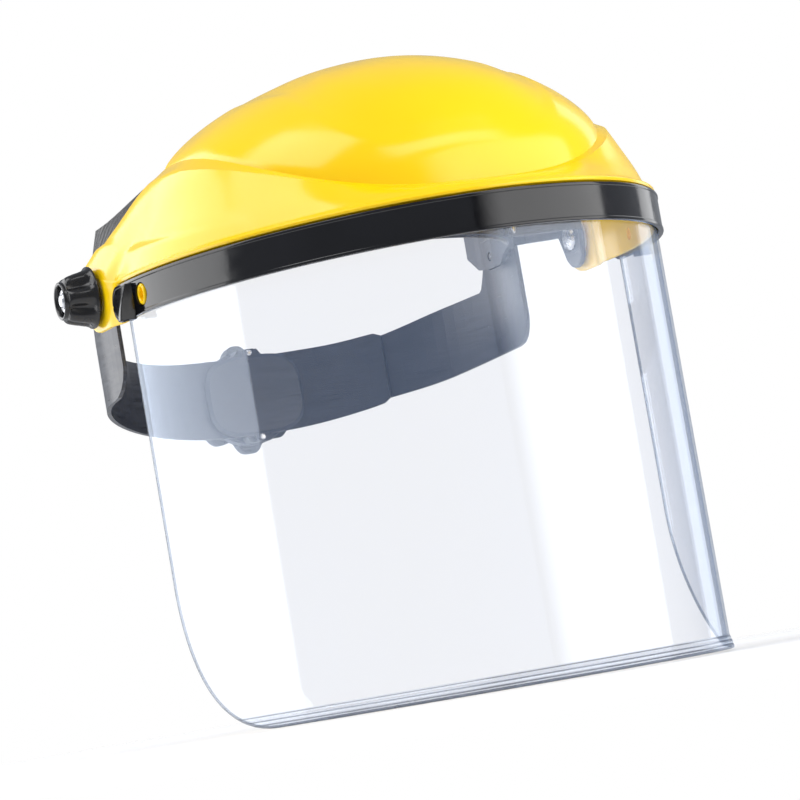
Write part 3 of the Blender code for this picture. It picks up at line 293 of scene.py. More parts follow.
class Shader:
    """Small helper that wires a Principled material."""

    def __init__(self, name, colour, roughness, metallic=0.0, **sockets):
        self.material = bpy.data.materials.new(name)
        self.material.use_nodes = True
        self.tree = self.material.node_tree
        self.main = self.tree.nodes["Principled BSDF"]
        self.main.inputs["Base Color"].default_value = (*colour, 1)
        self.main.inputs["Roughness"].default_value = roughness
        self.main.inputs["Metallic"].default_value = metallic
        for key, value in sockets.items():
            self.main.inputs[key.replace("_", " ")].default_value = value
        self.colour = colour
        self.coords = self.tree.nodes.new("ShaderNodeTexCoord").outputs["Object"]
        self.height = None

    def node(self, kind, **values):
        node = self.tree.nodes.new(kind)
        for key, value in values.items():
            if key in node.inputs:
                node.inputs[key].default_value = value
            else:
                setattr(node, key, value)
        return node

    def link(self, a, b):
        self.tree.links.new(a, b)

    def stretched(self, scale):
        mapping = self.node("ShaderNodeMapping")
        mapping.inputs["Scale"].default_value = scale
        self.link(self.coords, mapping.inputs["Vector"])
        return mapping.outputs["Vector"]

    def noise(self, scale, detail=2.0, vector=None, roughness=0.5):
        noise = self.node("ShaderNodeTexNoise", Scale=scale, Detail=detail, Roughness=roughness)
        self.link(vector or self.coords, noise.inputs["Vector"])
        return noise.outputs["Fac"]

    def ramp(self, value, low, high, to_low=0.0, to_high=1.0):
        ramp = self.node("ShaderNodeMapRange")
        limits = {"From Min": low, "From Max": high, "To Min": to_low, "To Max": to_high}
        for socket, number in limits.items():
            ramp.inputs[socket].default_value = number
        self.link(value, ramp.inputs["Value"])
        return ramp.outputs["Result"]

    def tint(self, value, other):
        """Base colour runs from the main colour to other as value goes 0 to 1."""
        mix = self.node("ShaderNodeMix", data_type="RGBA")
        mix.inputs[6].default_value = (*self.colour, 1)
        mix.inputs[7].default_value = (*other, 1)
        self.link(value, mix.inputs[0])
        self.link(mix.outputs[2], self.main.inputs["Base Color"])

    def vary_roughness(self, value, low, high):
        self.link(self.ramp(value, 0.3, 0.7, low, high), self.main.inputs["Roughness"])

    def bump(self, value, distance, strength=1.0):
        bump = self.node("ShaderNodeBump", Strength=strength, Distance=distance)
        self.link(value, bump.inputs["Height"])
        if self.height:
            self.link(self.height, bump.inputs["Normal"])
        self.height = bump.outputs["Normal"]
        self.link(self.height, self.main.inputs["Normal"])


def yellow_plastic():
    """Glossy yellow moulding whose reflections waver slightly."""
    s = Shader("yellow gloss moulding", (0.95, 0.60, 0.001), 0.2, Specular_IOR_Level=0.42)
    s.tint(s.ramp(s.noise(11, 3), 0.35, 0.7), (0.93, 0.63, 0.003))
    s.vary_roughness(s.noise(60, 4), 0.15, 0.25)
    s.bump(s.noise(75, 1), 0.00025, 0.35)
    s.bump(s.noise(900, 2), 0.00002, 0.3)
    return s.material


def gloss_black(name, roughness, lift=0.0):
    """Moulded black plastic; lift is added to its colour."""
    s = Shader(name, (0.003 + lift, 0.003 + lift, 0.004 + lift), roughness, Specular_IOR_Level=0.5)
    s.tint(s.ramp(s.noise(40, 3), 0.3, 0.8), (0.006 + lift, 0.006 + lift, 0.008 + lift))
    s.vary_roughness(s.noise(150, 5), roughness * 0.75, roughness * 1.5)
    s.bump(s.noise(240, 2), 0.00008, 0.3)
    s.bump(s.noise(2200, 3), 0.00001, 0.4)
    return s.material


def satin_black(name, colour, streak, ribs=None):
    """Flexible strap plastic with fine drawn streaks, and ribs where they are moulded in."""
    s = Shader(name, colour, 0.34)
    streaks = s.noise(1.0, 4, s.stretched((60, 60, 900)), 0.6)
    s.tint(s.ramp(streaks, 0.4, 0.75), streak)
    s.vary_roughness(streaks, 0.27, 0.42)
    s.bump(streaks, 0.00012, 0.5)
    s.bump(s.noise(1500, 3), 0.00002, 0.6)
    if ribs:
        wave = s.node("ShaderNodeTexWave", wave_type="BANDS", bands_direction="Y",
                      wave_profile="SIN", Scale=ribs)
        s.link(s.coords, wave.inputs["Vector"])
        s.bump(wave.outputs["Fac"], 0.0005, 0.8)
    return s.material


def steel(name, axis):
    """Bright plated steel with fine turning rings about an axis."""
    s = Shader(name, (0.68, 0.69, 0.71), 0.24, 0.95)
    wave = s.node("ShaderNodeTexWave", wave_type="RINGS", rings_direction=axis,
                  Scale=900, Distortion=0.6)
    s.link(s.coords, wave.inputs["Vector"])
    s.vary_roughness(s.noise(500, 4), 0.18, 0.36)
    s.tint(s.ramp(s.noise(260, 3), 0.3, 0.8), (0.55, 0.56, 0.6))
    s.bump(wave.outputs["Fac"], 0.00002, 0.5)
    return s.material


def acetal():
    """Off-white bearing plastic that lets a little light in."""
    s = Shader("natural acetal", (0.72, 0.71, 0.66), 0.4, Subsurface_Weight=0.1)
    s.main.inputs["Subsurface Radius"].default_value = (0.004, 0.004, 0.003)
    s.tint(s.ramp(s.noise(70, 3), 0.3, 0.8), (0.66, 0.64, 0.57))
    s.vary_roughness(s.noise(300, 3), 0.34, 0.5)
    s.bump(s.noise(1200, 2), 0.00002, 0.6)
    return s.material


def foam():
    """Dark foam with a brushed nap."""
    s = Shader("brushed foam", (0.03, 0.031, 0.035), 0.95, Sheen_Weight=0.45, Sheen_Roughness=0.5)
    cells = s.node("ShaderNodeTexVoronoi", Scale=650.0)
    s.link(s.coords, cells.inputs["Vector"])
    s.tint(s.ramp(s.noise(500, 4), 0.35, 0.75), (0.075, 0.077, 0.085))
    s.bump(cells.outputs["Distance"], 0.0006, 0.8)
    s.bump(s.noise(90, 3), 0.0008, 0.5)
    return s.material


def clear_sheet():
    """Thin clear polycarbonate: see-through, with a sharp reflection that grows at a
    grazing look (the Facing weight to the fourth power, from 4.5% up to 60%)."""
    material = bpy.data.materials.new("clear polycarbonate")
    material.use_nodes = True
    tree = material.node_tree
    tree.nodes.clear()
    out = tree.nodes.new("ShaderNodeOutputMaterial")
    mix = tree.nodes.new("ShaderNodeMixShader")
    through = tree.nodes.new("ShaderNodeBsdfTransparent")
    gloss = tree.nodes.new("ShaderNodeBsdfGlossy")
    weight = tree.nodes.new("ShaderNodeLayerWeight")
    power = tree.nodes.new("ShaderNodeMath")
    power.operation = "POWER"
    power.inputs[1].default_value = 4.0
    share = tree.nodes.new("ShaderNodeMapRange")
    share.inputs["To Min"].default_value = 0.045
    share.inputs["To Max"].default_value = 0.6
    weight.inputs["Blend"].default_value = 0.5
    gloss.inputs["Roughness"].default_value = 0.03
    gloss.inputs["Color"].default_value = (0.80, 0.88, 1.0, 1)
    coords = tree.nodes.new("ShaderNodeTexCoord")
    noise = tree.nodes.new("ShaderNodeTexNoise")
    noise.inputs["Scale"].default_value = 7.0
    noise.inputs["Detail"].default_value = 2.0
    tint = tree.nodes.new("ShaderNodeMix")
    tint.data_type = "RGBA"
    tint.inputs[6].default_value = (0.985, 0.982, 0.982, 1)
    tint.inputs[7].default_value = (1.0, 0.998, 0.996, 1)
    bump = tree.nodes.new("ShaderNodeBump")
    bump.inputs["Strength"].default_value = 0.12
    bump.inputs["Distance"].default_value = 0.0005
    tree.links.new(coords.outputs["Object"], noise.inputs["Vector"])
    tree.links.new(noise.outputs["Fac"], tint.inputs[0])
    tree.links.new(noise.outputs["Fac"], bump.inputs["Height"])
    tree.links.new(bump.outputs["Normal"], gloss.inputs["Normal"])
    # painted shade and light: dark and pale lines over the lip's bottom 6 mm, multiplied into the
    # see-through colour, stand in for the light that the folds of the lip along the bottom edge
    # bend
    split = tree.nodes.new("ShaderNodeSeparateXYZ")
    height = tree.nodes.new("ShaderNodeMapRange")
    height.inputs["From Min"].default_value = VISOR_FOOT
    height.inputs["From Max"].default_value = VISOR_FOOT + 6.0 * MM
    lines = tree.nodes.new("ShaderNodeValToRGB")
    lines.color_ramp.elements[0].color = (0.50, 0.52, 0.56, 1)
    lines.color_ramp.elements[1].color = (1, 1, 1, 1)
    for where, tone in ((0.1, 0.93), (0.2, 0.9), (0.27, 0.36), (0.35, 0.88), (0.47, 0.97),
                        (0.54, 0.45), (0.62, 0.9), (0.8, 0.93), (0.86, 0.5), (0.92, 0.92)):
        lines.color_ramp.elements.new(where).color = (tone * 0.97, tone * 0.98, tone, 1)
    shaded = tree.nodes.new("ShaderNodeMix")
    shaded.data_type = "RGBA"
    shaded.blend_type = "MULTIPLY"
    shaded.inputs[0].default_value = 1.0
    tree.links.new(coords.outputs["Object"], split.inputs["Vector"])
    tree.links.new(split.outputs["Z"], height.inputs["Value"])
    tree.links.new(height.outputs["Result"], lines.inputs["Fac"])
    tree.links.new(tint.outputs[2], shaded.inputs[6])
    tree.links.new(lines.outputs["Color"], shaded.inputs[7])
    tree.links.new(shaded.outputs[2], through.inputs["Color"])
    tree.links.new(weight.outputs["Facing"], power.inputs[0])
    tree.links.new(power.outputs["Value"], share.inputs["Value"])
    tree.links.new(share.outputs["Result"], mix.inputs[0])
    # faint bluish haze of fine scratches
    haze = tree.nodes.new("ShaderNodeBsdfDiffuse")
    haze.inputs["Color"].default_value = (0.40, 0.57, 0.95, 1)
    veil = tree.nodes.new("ShaderNodeMixShader")
    cloud = tree.nodes.new("ShaderNodeMapRange")
    cloud.inputs["To Min"].default_value = 0.035
    cloud.inputs["To Max"].default_value = 0.055
    tree.links.new(noise.outputs["Fac"], cloud.inputs["Value"])
    tree.links.new(cloud.outputs["Result"], veil.inputs[0])
    tree.links.new(through.outputs["BSDF"], veil.inputs[1])
    tree.links.new(haze.outputs["BSDF"], veil.inputs[2])
    tree.links.new(veil.outputs["Shader"], mix.inputs[1])
    tree.links.new(gloss.outputs["BSDF"], mix.inputs[2])
    tree.links.new(mix.outputs["Shader"], out.inputs["Surface"])
    return material


def sheet_edge():
    """The sheet's polished cut edge: its grey base colour is painted shade, standing in for the
    grey line the clear edge makes by gathering light.
    """
    material = bpy.data.materials.new("polished sheet edge")
    material.use_nodes = True
    tree = material.node_tree
    main = tree.nodes["Principled BSDF"]
    main.inputs["Roughness"].default_value = 0.16
    main.inputs["Alpha"].default_value = 0.62
    coords = tree.nodes.new("ShaderNodeTexCoord")
    noise = tree.nodes.new("ShaderNodeTexNoise")
    noise.inputs["Scale"].default_value = 55.0
    tint = tree.nodes.new("ShaderNodeMix")
    tint.data_type = "RGBA"
    tint.inputs[6].default_value = (0.10, 0.115, 0.14, 1)
    tint.inputs[7].default_value = (0.30, 0.33, 0.38, 1)
    bump = tree.nodes.new("ShaderNodeBump")
    bump.inputs["Distance"].default_value = 0.0001
    tree.links.new(coords.outputs["Object"], noise.inputs["Vector"])
    tree.links.new(noise.outputs["Fac"], tint.inputs[0])
    tree.links.new(noise.outputs["Fac"], bump.inputs["Height"])
    tree.links.new(tint.outputs[2], main.inputs["Base Color"])
    tree.links.new(bump.outputs["Normal"], main.inputs["Normal"])
    return material


# ---------------------------------------------------------------- brow guard

def ridge_curve():
    """The crease between the side panels and the dome, from right end to left end."""
    beta = np.radians(np.linspace(-90, 90, 721))
    power = 2 / RIDGE_POWER
    x = RIDGE_HALF_WIDTH * np.sign(beta) * np.abs(np.sin(beta)) ** power
    y = RIDGE_REAR_Y + (RIDGE_FRONT_Y - RIDGE_REAR_Y) * np.abs(np.cos(beta)) ** power
    z = RIDGE_FRONT_Z + (RIDGE_REAR_Z - RIDGE_FRONT_Z) * np.abs(np.sin(beta)) ** 2.3
    return np.stack([x, y, z], 1)


def guard_columns():
    """Outside of the guard as (rows, columns, 3), with its creases raised.  A column runs
    from the wall's foot over the lip, the side panel and the ridge to the dome's top."""
    total = rim_length(EAR_RADIUS)
    ear = np.r_[EAR_RADIUS * (1 - np.cos(np.radians(np.arange(0, 90, 7.5)))),
                np.linspace(EAR_RADIUS, EAR_RADIUS + 37 * MM, 22)] / total
    fractions = np.r_[ear[:-1], np.linspace(ear[-1], 1 - ear[-1], 171), 1 - ear[:-1][::-1]]

    def inset(y):
        return GUARD_INSET + (EAR_INSET - GUARD_INSET) * smoothstep(y, -23.5 * MM, -14 * MM)

    def eased(y):
        return GUARD_INSET + (EAR_INSET - GUARD_INSET) * smoothstep(y, -62 * MM, 8 * MM)

    wall, inward = rim_points(EAR_RADIUS, fractions, inset)
    even, _ = rim_points(EAR_RADIUS, fractions, eased)
    ridge = resample(ridge_curve(), fractions)
    panel = np.r_[np.linspace(0.04, 0.9, 20), 0.94, 0.97, 1.0]
    dome = np.r_[2, 4, 6.5, 9, 12, np.linspace(15, 90, 36)]
    columns = []
    for f, (x, y), soft, normal, crease in zip(fractions, wall, even, inward, ridge):
        from_end = min(f, 1 - f) * total
        side = abs(crease[0]) / RIDGE_HALF_WIDTH
        bottom = -math.sqrt(max(EAR_RADIUS**2 - y * y, 0.0)) if y > 0 else WALL_FOOT
        rear = smoothstep(y, STRIP_END_Y, 10 * MM)
        lift = 1 - rear
        top = WALL_TOP + EAR_RISE * rear
        proud = LIP_PROUD * (1 - smoothstep(y, -34 * MM, -22 * MM))
        plan = np.array([x, y])
        flat_in = np.array([*normal, 0.0])

        def level(out, z):
            return np.array([*(plan - normal * out), z])

        column = [level(0, bottom + (top - bottom) * t) for t in (0, 0.12, 0.5, 0.88, 1)]
        lip_low, lip_high = top + 0.5 * MM, top + (0.6 + 2.0 * lift) * MM
        for t, out in LIP_SECTION:
            column.append(level(proud * out, lip_low + (lip_high - lip_low) * t))
        shoulder = level(-0.4 * MM * lift, top + (0.7 + 3.0 * lift) * MM)
        column.append(level(proud * 0.2 - 0.4 * MM * lift, shoulder[2] - 0.35 * MM * lift))
        column.append(shoulder)
        span = crease - shoulder
        outward = np.cross(span, np.array([-normal[1], normal[0], 0.0]))
        outward /= np.linalg.norm(outward)
        if outward @ flat_in > 0:
            outward = -outward
        # a shallow pressed line crosses the panel and dies away towards the front
        fold = 0.31 - 0.9 * max(from_end - 20 * MM, 0.0)
        fade = 1 - smoothstep(from_end, 60 * MM, 135 * MM)
        # the wall's swing out to the ear dies away up the panel
        swing = np.array([*(soft - plan), 0.0]) - flat_in * 0.3 * MM * lift
        for t in panel:
            belly = PANEL_BELLY * (4 * t * (1 - t)) * (0.5 + 0.5 * side)
            step = (-PANEL_STEP * fade * smoothstep(t, fold - 0.035, fold + 0.045)
                    * (1 - smoothstep(t, fold + 0.2, 0.97)))
            settled = swing * (1 - t) * smoothstep(t, 0.0, 0.45)
            column.append(shoulder + span * t + outward * (belly + step) + settled)
        # over the ridge, a step in and up to the dome's base
        flat = crease - np.array([0.0, RIDGE_REAR_Y, 0.0])
        flat[2] = 0.0
        flat /= np.linalg.norm(flat)
        step_in = (2.5 + 6.0 * side**6) * MM
        step_up = (1.0 + 4.6 * side**6) * MM
        base = crease - flat * step_in + np.array([0, 0, step_up])
        column.append(crease * 0.6 + base * 0.4 + np.array([0, 0, -0.25 * MM]))
        column.append(base)
        power = 0.45 + 0.35 * side**2
        line = 15.5 + 34 * smoothstep(abs(f - 0.5) * total, 35 * MM, 150 * MM)
        for a in dome:
            reach = math.cos(math.radians(a))
            point = DOME_TOP + (base - DOME_TOP) * reach
            point[2] = base[2] + (DOME_TOP[2] - base[2]) * (1 - reach**2) ** power
            spoke = point - DOME_HEART
            spoke /= np.linalg.norm(spoke)
            pressed = (smoothstep(a, line - 2.2, line + 1.2)
                       * (1 - smoothstep(a, line + 9, line + 24)))
            column.append(point - spoke * DOME_STEP * pressed)
        columns.append(column)
    return np.transpose(np.array(columns), (1, 0, 2)), inward


def grid_normals(grid, inside):
    """Unit normals of a grid of points, turned towards the point inside."""
    down = np.gradient(grid, axis=0)
    along = np.gradient(grid, axis=1)
    normal = np.cross(along, down)
    normal /= np.maximum(np.linalg.norm(normal, axis=2, keepdims=True), 1e-12)
    flip = np.sign((normal * (inside - grid)).sum(axis=2, keepdims=True))
    return normal * np.where(flip == 0, 1, flip)


def smooth_grid(values, times):
    """Even out a grid of vectors with their four neighbours."""
    for _ in range(times):
        padded = np.pad(values, ((1, 1), (1, 1), (0, 0)), mode="edge")
        values = (padded[:-2, 1:-1] + padded[2:, 1:-1] + padded[1:-1, :-2] + padded[1:-1, 2:]
                  + 2 * padded[1:-1, 1:-1]) / 6
    return values


def border(grid, depth=0):
    """The grid's outline, in order: bottom, left end, top, right end."""
    return np.concatenate([grid[depth], grid[1:, -1 - depth], grid[-1 - depth, -2::-1],
                           grid[-2:0:-1, depth]])


def build_brow_guard(material):
    outer, inward = guard_columns()
    normal = grid_normals(outer, np.array([0, -60, 0]) * MM)
    normal = smooth_grid(normal, 6)
    normal /= np.linalg.norm(normal, axis=2, keepdims=True)
    inner = smooth_grid(outer, 8) + normal * GUARD_THICK
    # behind the wall and the lip the inside is a plain upright face
    flat = np.concatenate([inward, np.zeros((len(inward), 1))], axis=1)
    for row in range(LIP_ROWS):
        inner[row] = outer[min(row, WALL_ROW)] + flat * GUARD_THICK
        inner[row, :, 2] = outer[row, :, 2]
        if row > WALL_ROW:
            rise = outer[LIP_ROWS, :, 2] - outer[WALL_ROW, :, 2]
            inner[row, :, 2] = (outer[WALL_ROW, :, 2]
                                + rise * 0.75 * (row - WALL_ROW) / (LIP_ROWS - WALL_ROW))
    # rounded outer edge all round: bottom, rear sides and the top edge
    rim_out, rim_in = border(outer), border(inner)
    away = rim_out - border(outer, 1)
    away /= np.maximum(np.linalg.norm(away, axis=1, keepdims=True), 1e-9)
    layers = [rim_out + (rim_in - rim_out) * t - away * 0.35 * MM * (drop - 1.0) * 0.9
              for t, drop in ((0.14, 0.4), (0.36, 0.05), (0.64, 0.05), (0.86, 0.4))]
    verts = np.concatenate([outer.reshape(-1, 3), inner.reshape(-1, 3)] + layers)
    rows, cols = outer.shape[:2]
    shift = rows * cols
    faces = []
    for r in range(rows - 1):
        for c in range(cols - 1):
            a = r * cols + c
            quad = [a, a + 1, a + cols + 1, a + cols]
            faces.append(quad)
            faces.append([shift + i for i in quad[::-1]])
    edge = border(np.arange(shift).reshape(rows, cols))
    count = len(edge)
    chains = [2 * shift + k * count + np.arange(count) for k in range(len(layers))]
    chains = [edge, *chains, shift + edge]
    for one, two in zip(chains, chains[1:]):
        faces += np.stack([one, np.roll(one, -1), np.roll(two, -1), two], 1).tolist()
    guard = mesh_object("brow_guard_shell", verts, faces, GUARD_SHARP)
    cutters = []
    peg_tip = rim_x(PEG_Y, 0.0)
    wall = rim_x(PEG_Y, GUARD_INSET + GUARD_THICK)
    for side, _ in SIDES:
        cutters.append(rod((side * (wall - 6 * MM), PEG_Y, PEG_Z),
                           (side * (peg_tip + 6 * MM), PEG_Y, PEG_Z), PEG_BORE))
        cutters.append(rod((side * 105 * MM, 0, 0), (side * 120 * MM, 0, 0), BOLT_HOLE))
    cut(guard, cutters, GUARD_SHARP)
    finish_piece(guard, "shield", "yellow_plastic", material, "brow_guard")
    start, end = wall + 1.0 * MM, peg_tip - 0.1 * MM
    rings = [(start, PEG_RADIUS + 0.5 * MM), (start + 0.9 * MM, PEG_RADIUS),
             (end - 0.4 * MM, PEG_RADIUS), (end, PEG_RADIUS - 0.4 * MM), (end, 3.2 * MM),
             (end - 0.4 * MM, PEG_BORE), (start, PEG_BORE)]
    for side, label in SIDES:
        peg = mesh_object(f"guard_peg_{label}", *turned("X", (0, PEG_Y, PEG_Z), rings, 48, side))
        finish_piece(peg, "shield", "yellow_plastic", material)


# ---------------------------------------------------------------- strip and visor

def build_visor_strip(material):
    length = rim_length(STRIP_END_Y)
    half, middle = (STRIP_TOP - STRIP_BOTTOM) / 2, (STRIP_TOP + STRIP_BOTTOM) / 2
    ends = half * (1 - np.cos(np.radians(np.arange(12, 91, 6)))) / length
    fractions = np.r_[ends[:-1], np.linspace(ends[-1], 1 - ends[-1], 221), 1 - ends[:-1][::-1]]
    soft = 0.45 * MM
    bead = 0.28 * MM
    # (inset, distance below the top edge): a fine raised bead along each edge
    upper = [(STRIP_THICK - soft, 0.0), (soft * 1.2, 0.0), (soft * 0.35, soft * 0.3),
             (0.0, soft), (0.0, 1.15 * MM), (bead, 1.45 * MM), (bead, 1.9 * MM)]
    profile = [(inset, drop, 1) for inset, drop in upper]
    profile += [(inset, drop, -1) for inset, drop in upper[::-1]]
    profile += [(STRIP_THICK, soft, -1), (STRIP_THICK, soft, 1)]
    layers = {inset: rim_points(STRIP_END_Y, fractions, inset)[0] for inset, _, _ in profile}
    rings = []
    for i, f in enumerate(fractions):
        reach = max(half - min(f, 1 - f) * length, 0.0)
        height = math.sqrt(half**2 - reach**2)
        rings.append([(*layers[inset][i], middle + sign * max(height - drop, 0.02 * MM))
                      for inset, drop, sign in profile])
    strip = mesh_object("visor_strip_moulding", *loop_shell(rings), STRIP_SHARP)
    cut(strip, peg_holes(PEG_RADIUS + 0.6 * MM), STRIP_SHARP)
    finish_piece(strip, "shield", "black_gloss_plastic", material, "visor_strip")
    # a tab to pull the strip off by, in mm: (y, out) round it, and (z, proud) down it
    face = rim_x(-50 * MM, 0.8 * MM)
    section = [(-52.5, 0.0), (-47.0, 0.0), (-49.2, 1.0), (-52.0, 1.0)]
    stations = [(-2.5, 3.0), (-6.0, 4.2), (-9.0, 5.3), (-14.0, 6.6), (-17.5, 7.3)]
    for side, label in SIDES:
        rings = [[(side * (face + out * proud * MM), y * MM, z * MM) for y, out in section]
                 for z, proud in stations]
        tab = mesh_object(f"finger_tab_{label}", *loop_shell(rings), STRIP_SHARP)
        soften(tab, 0.35 * MM, 3, 40)
        finish_piece(tab, "shield", "black_gloss_plastic", material)


def build_visor(material, edge_material):
    """Clear sheet with rounded lower corners and a rolled lip along its bottom edge, and
    a bead along its cut edge."""
    end_y, side_y, top = -25 * MM, -38 * MM, -3.0 * MM
    length = rim_length(end_y)
    tab = abs(side_y - end_y)
    left = np.r_[0.0, tab - 0.15 * MM, tab + 0.15 * MM,
                 tab + VISOR_CORNER * (1 - np.cos(np.radians(np.arange(5, 91, 4.25))))] / length
    fractions = np.r_[left, np.linspace(left[-1], 1 - left[-1], 121)[1:-1], 1 - left[::-1]]
    skin, _ = rim_points(end_y, fractions, VISOR_INSET)
    back, _ = rim_points(end_y, fractions, VISOR_INSET + VISOR_THICK)

    def station(i):
        """Distance past the corner tab, the way out, and how far the lip is formed."""
        s = min(fractions[i], 1 - fractions[i]) * length - tab
        out = skin[i] - back[i]
        formed = smoothstep(s, 0.75 * VISOR_CORNER, 1.75 * VISOR_CORNER)
        return s, out / np.linalg.norm(out), formed

    def foot_at(s):
        reach = max(VISOR_CORNER - s, 0.0)
        drop = math.sqrt(max(VISOR_CORNER**2 - reach**2, 0.0))
        return VISOR_FOOT + VISOR_CORNER - drop

    # (height above the lip's foot, how far it stands proud) in mm: three fine folds
    lip_full = 5.6
    folds = [(lip_full, 0.0), (5.0, 0.5), (4.4, 0.9), (3.9, 0.7), (3.3, 1.3), (2.6, 1.6),
             (2.1, 1.3), (1.5, 1.8), (0.7, 2.0), (0.2, 1.85), (0.0, 1.5)]
    rows_down = [0.0, 0.03, 0.12, 0.3, 0.5, 0.7, 0.85, 0.95]
    columns = []
    for i in range(len(fractions)):
        s, out, formed = station(i)
        foot, lip_height = (-10 * MM, 1.5) if s < -0.05 * MM else (foot_at(s), lip_full)
        lip_top = foot + lip_height * MM
        column = [(*skin[i], top + (lip_top - top) * t) for t in rows_down]
        column += [(*(skin[i] + out * proud * MM * formed),
                    foot + height * lip_height / lip_full * MM) for height, proud in folds]
        column += [(*back[i], foot + 0.1 * MM * lip_height / lip_full), (*back[i], lip_top)]
        column += [(*back[i], top + (lip_top - top) * t) for t in rows_down[::-1]]
        columns.append(column)
    visor = mesh_object("visor_sheet", *loop_shell(columns), VISOR_SHARP)
    cut(visor, peg_holes(PEG_RADIUS + 0.4 * MM), VISOR_SHARP)
    finish_piece(visor, "shield", "clear_sheet", material, "visor_panel")

    # the bead along the cut edge wears the sheet edge material, whose grey is painted shade
    centre = (skin + back) / 2
    path, normals = [], []
    for i in range(len(fractions)):
        s, out, formed = station(i)
        if s >= 0:
            path.append((*(centre[i] + out * 0.6 * MM * formed), foot_at(s) + 0.35 * MM))
            normals.append((*out, 0.0))
    rise = np.linspace(-11 * MM, path[0][2], 14)[:-1]
    path = [(*path[0][:2], z) for z in rise] + path + [(*path[-1][:2], z) for z in rise[::-1]]
    normals = [normals[0]] * len(rise) + normals + [normals[-1]] * len(rise)
    path, normals = np.array(path), np.array(normals)
    across = np.cross(np.gradient(path, axis=0), normals)
    across /= np.linalg.norm(across, axis=1)[:, None]
    turns = np.linspace(0, math.tau, 12, endpoint=False)
    rings = [[p + (n * math.cos(a) + b * math.sin(a)) * EDGE_BEAD for a in turns]
             for p, n, b in zip(path, normals, across)]
    rim = mesh_object("visor_polished_edge", *loop_shell(rings), 60)
    finish_piece(rim, "shield", "clear_sheet", edge_material)


# ---------------------------------------------------------------- knobs

def lobes(base, depth, count, phase=0.0):
    """Radius of a grip with count lobes: base at their crests, depth less between them."""
    def radius(angle):
        wave = 0.5 + 0.5 * math.cos(count * (angle - phase))
        return base - depth * (1 - wave) ** 1.6
    return radius


def build_side_knob(side, label, material):
    start, end = KNOB_BOX[0].x, KNOB_BOX[1].x
    # in mm: (from start, radius), (from start, radius, depth of the lobes), (from end, radius)
    collar = [(0.0, 12.9), (0.25, 13.2), (0.7, 13.3), (1.15, 13.2), (1.35, 13.0)]
    grip = [(1.5, 12.9, 0.1), (1.9, 12.7, 0.5), (2.4, 12.6, 1.4), (3.0, 12.4, 2.1),
            (4.5, 12.1, 2.6), (6.0, 11.7, 2.8), (7.5, 11.4, 2.9), (9.0, 11.0, 2.8),
            (10.3, 10.6, 2.6), (11.2, 10.2, 2.2), (11.8, 9.7, 1.6), (12.2, 9.2, 1.0)]
    neck = [(12.5, 8.4), (12.7, 8.15)]
    mouth = [(-0.6, 8.1), (-0.2, 7.95), (0.0, 7.7), (0.0, 7.05), (-0.15, 6.75), (-0.5, 6.5),
             (-3.0, 6.4), (-5.4, 6.3), (-5.4, 3.3)]
    rings = [(start + x * MM, r * MM) for x, r in collar]
    rings += [(start + x * MM, lobes(r * MM, d * MM, 6)) for x, r, d in grip]
    rings += [(start + x * MM, r * MM) for x, r in neck]
    rings += [(end + x * MM, r * MM) for x, r in mouth]
    rings.append((start, BOLT_HOLE))
    knob = mesh_object(f"knob_grip_{label}", *turned("X", (0, 0, 0), rings, 144, side), 38)
    finish_piece(knob, f"knob_{label}", "black_gloss_plastic", material, f"side_knob_{label}")


def build_ratchet_knob(material):
    low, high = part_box("ratchet_knob")
    centre = (0, 0, (low.z + high.z) / 2)
    start, end, outer = low.y, high.y, 26.0

    def lobed(radius, depth):
        return lobes(radius * MM, depth * MM, 8, -math.pi / 2)

    def ribbed(radius, depth):
        plain = lobed(radius, depth)
        return lambda angle: plain(angle) - RIB_DEPTH * (0.5 - 0.5 * math.cos(RIBS * angle))

    rings = [
        (start, lobed(outer - 1.0, 5.0)), (start + 0.3 * MM, lobed(outer - 0.5, 5.1)),
        (start + 0.9 * MM, lobed(outer, 5.2)), (start + 1.4 * MM, ribbed(outer, 5.2)),
        (end - 3.4 * MM, ribbed(outer - 0.35, 5.2)), (end - 2.9 * MM, lobed(outer - 0.6, 5.2)),
        (end - 1.6 * MM, lobed(outer - 1.6, 5.0)), (end - 0.6 * MM, lobed(outer - 3.2, 4.6)),
        (end, lobed(outer - 5.8, 4.0)), (end, 12.4 * MM), (end - 0.2 * MM, 12 * MM),
        (end - 1.2 * MM, 10.6 * MM), (end - 1.3 * MM, 5.2 * MM), (end - 1.9 * MM, 4.6 * MM),
        (end - 1.9 * MM, 1.5 * MM), (start, 1.5 * MM)]
    knob = mesh_object("ratchet_knob_grip", *turned("Y", centre, rings, 384), 38)
    finish_piece(knob, "ratchet_drive", "black_gloss_plastic", material, "ratchet_knob")


# ---------------------------------------------------------------- sweatband

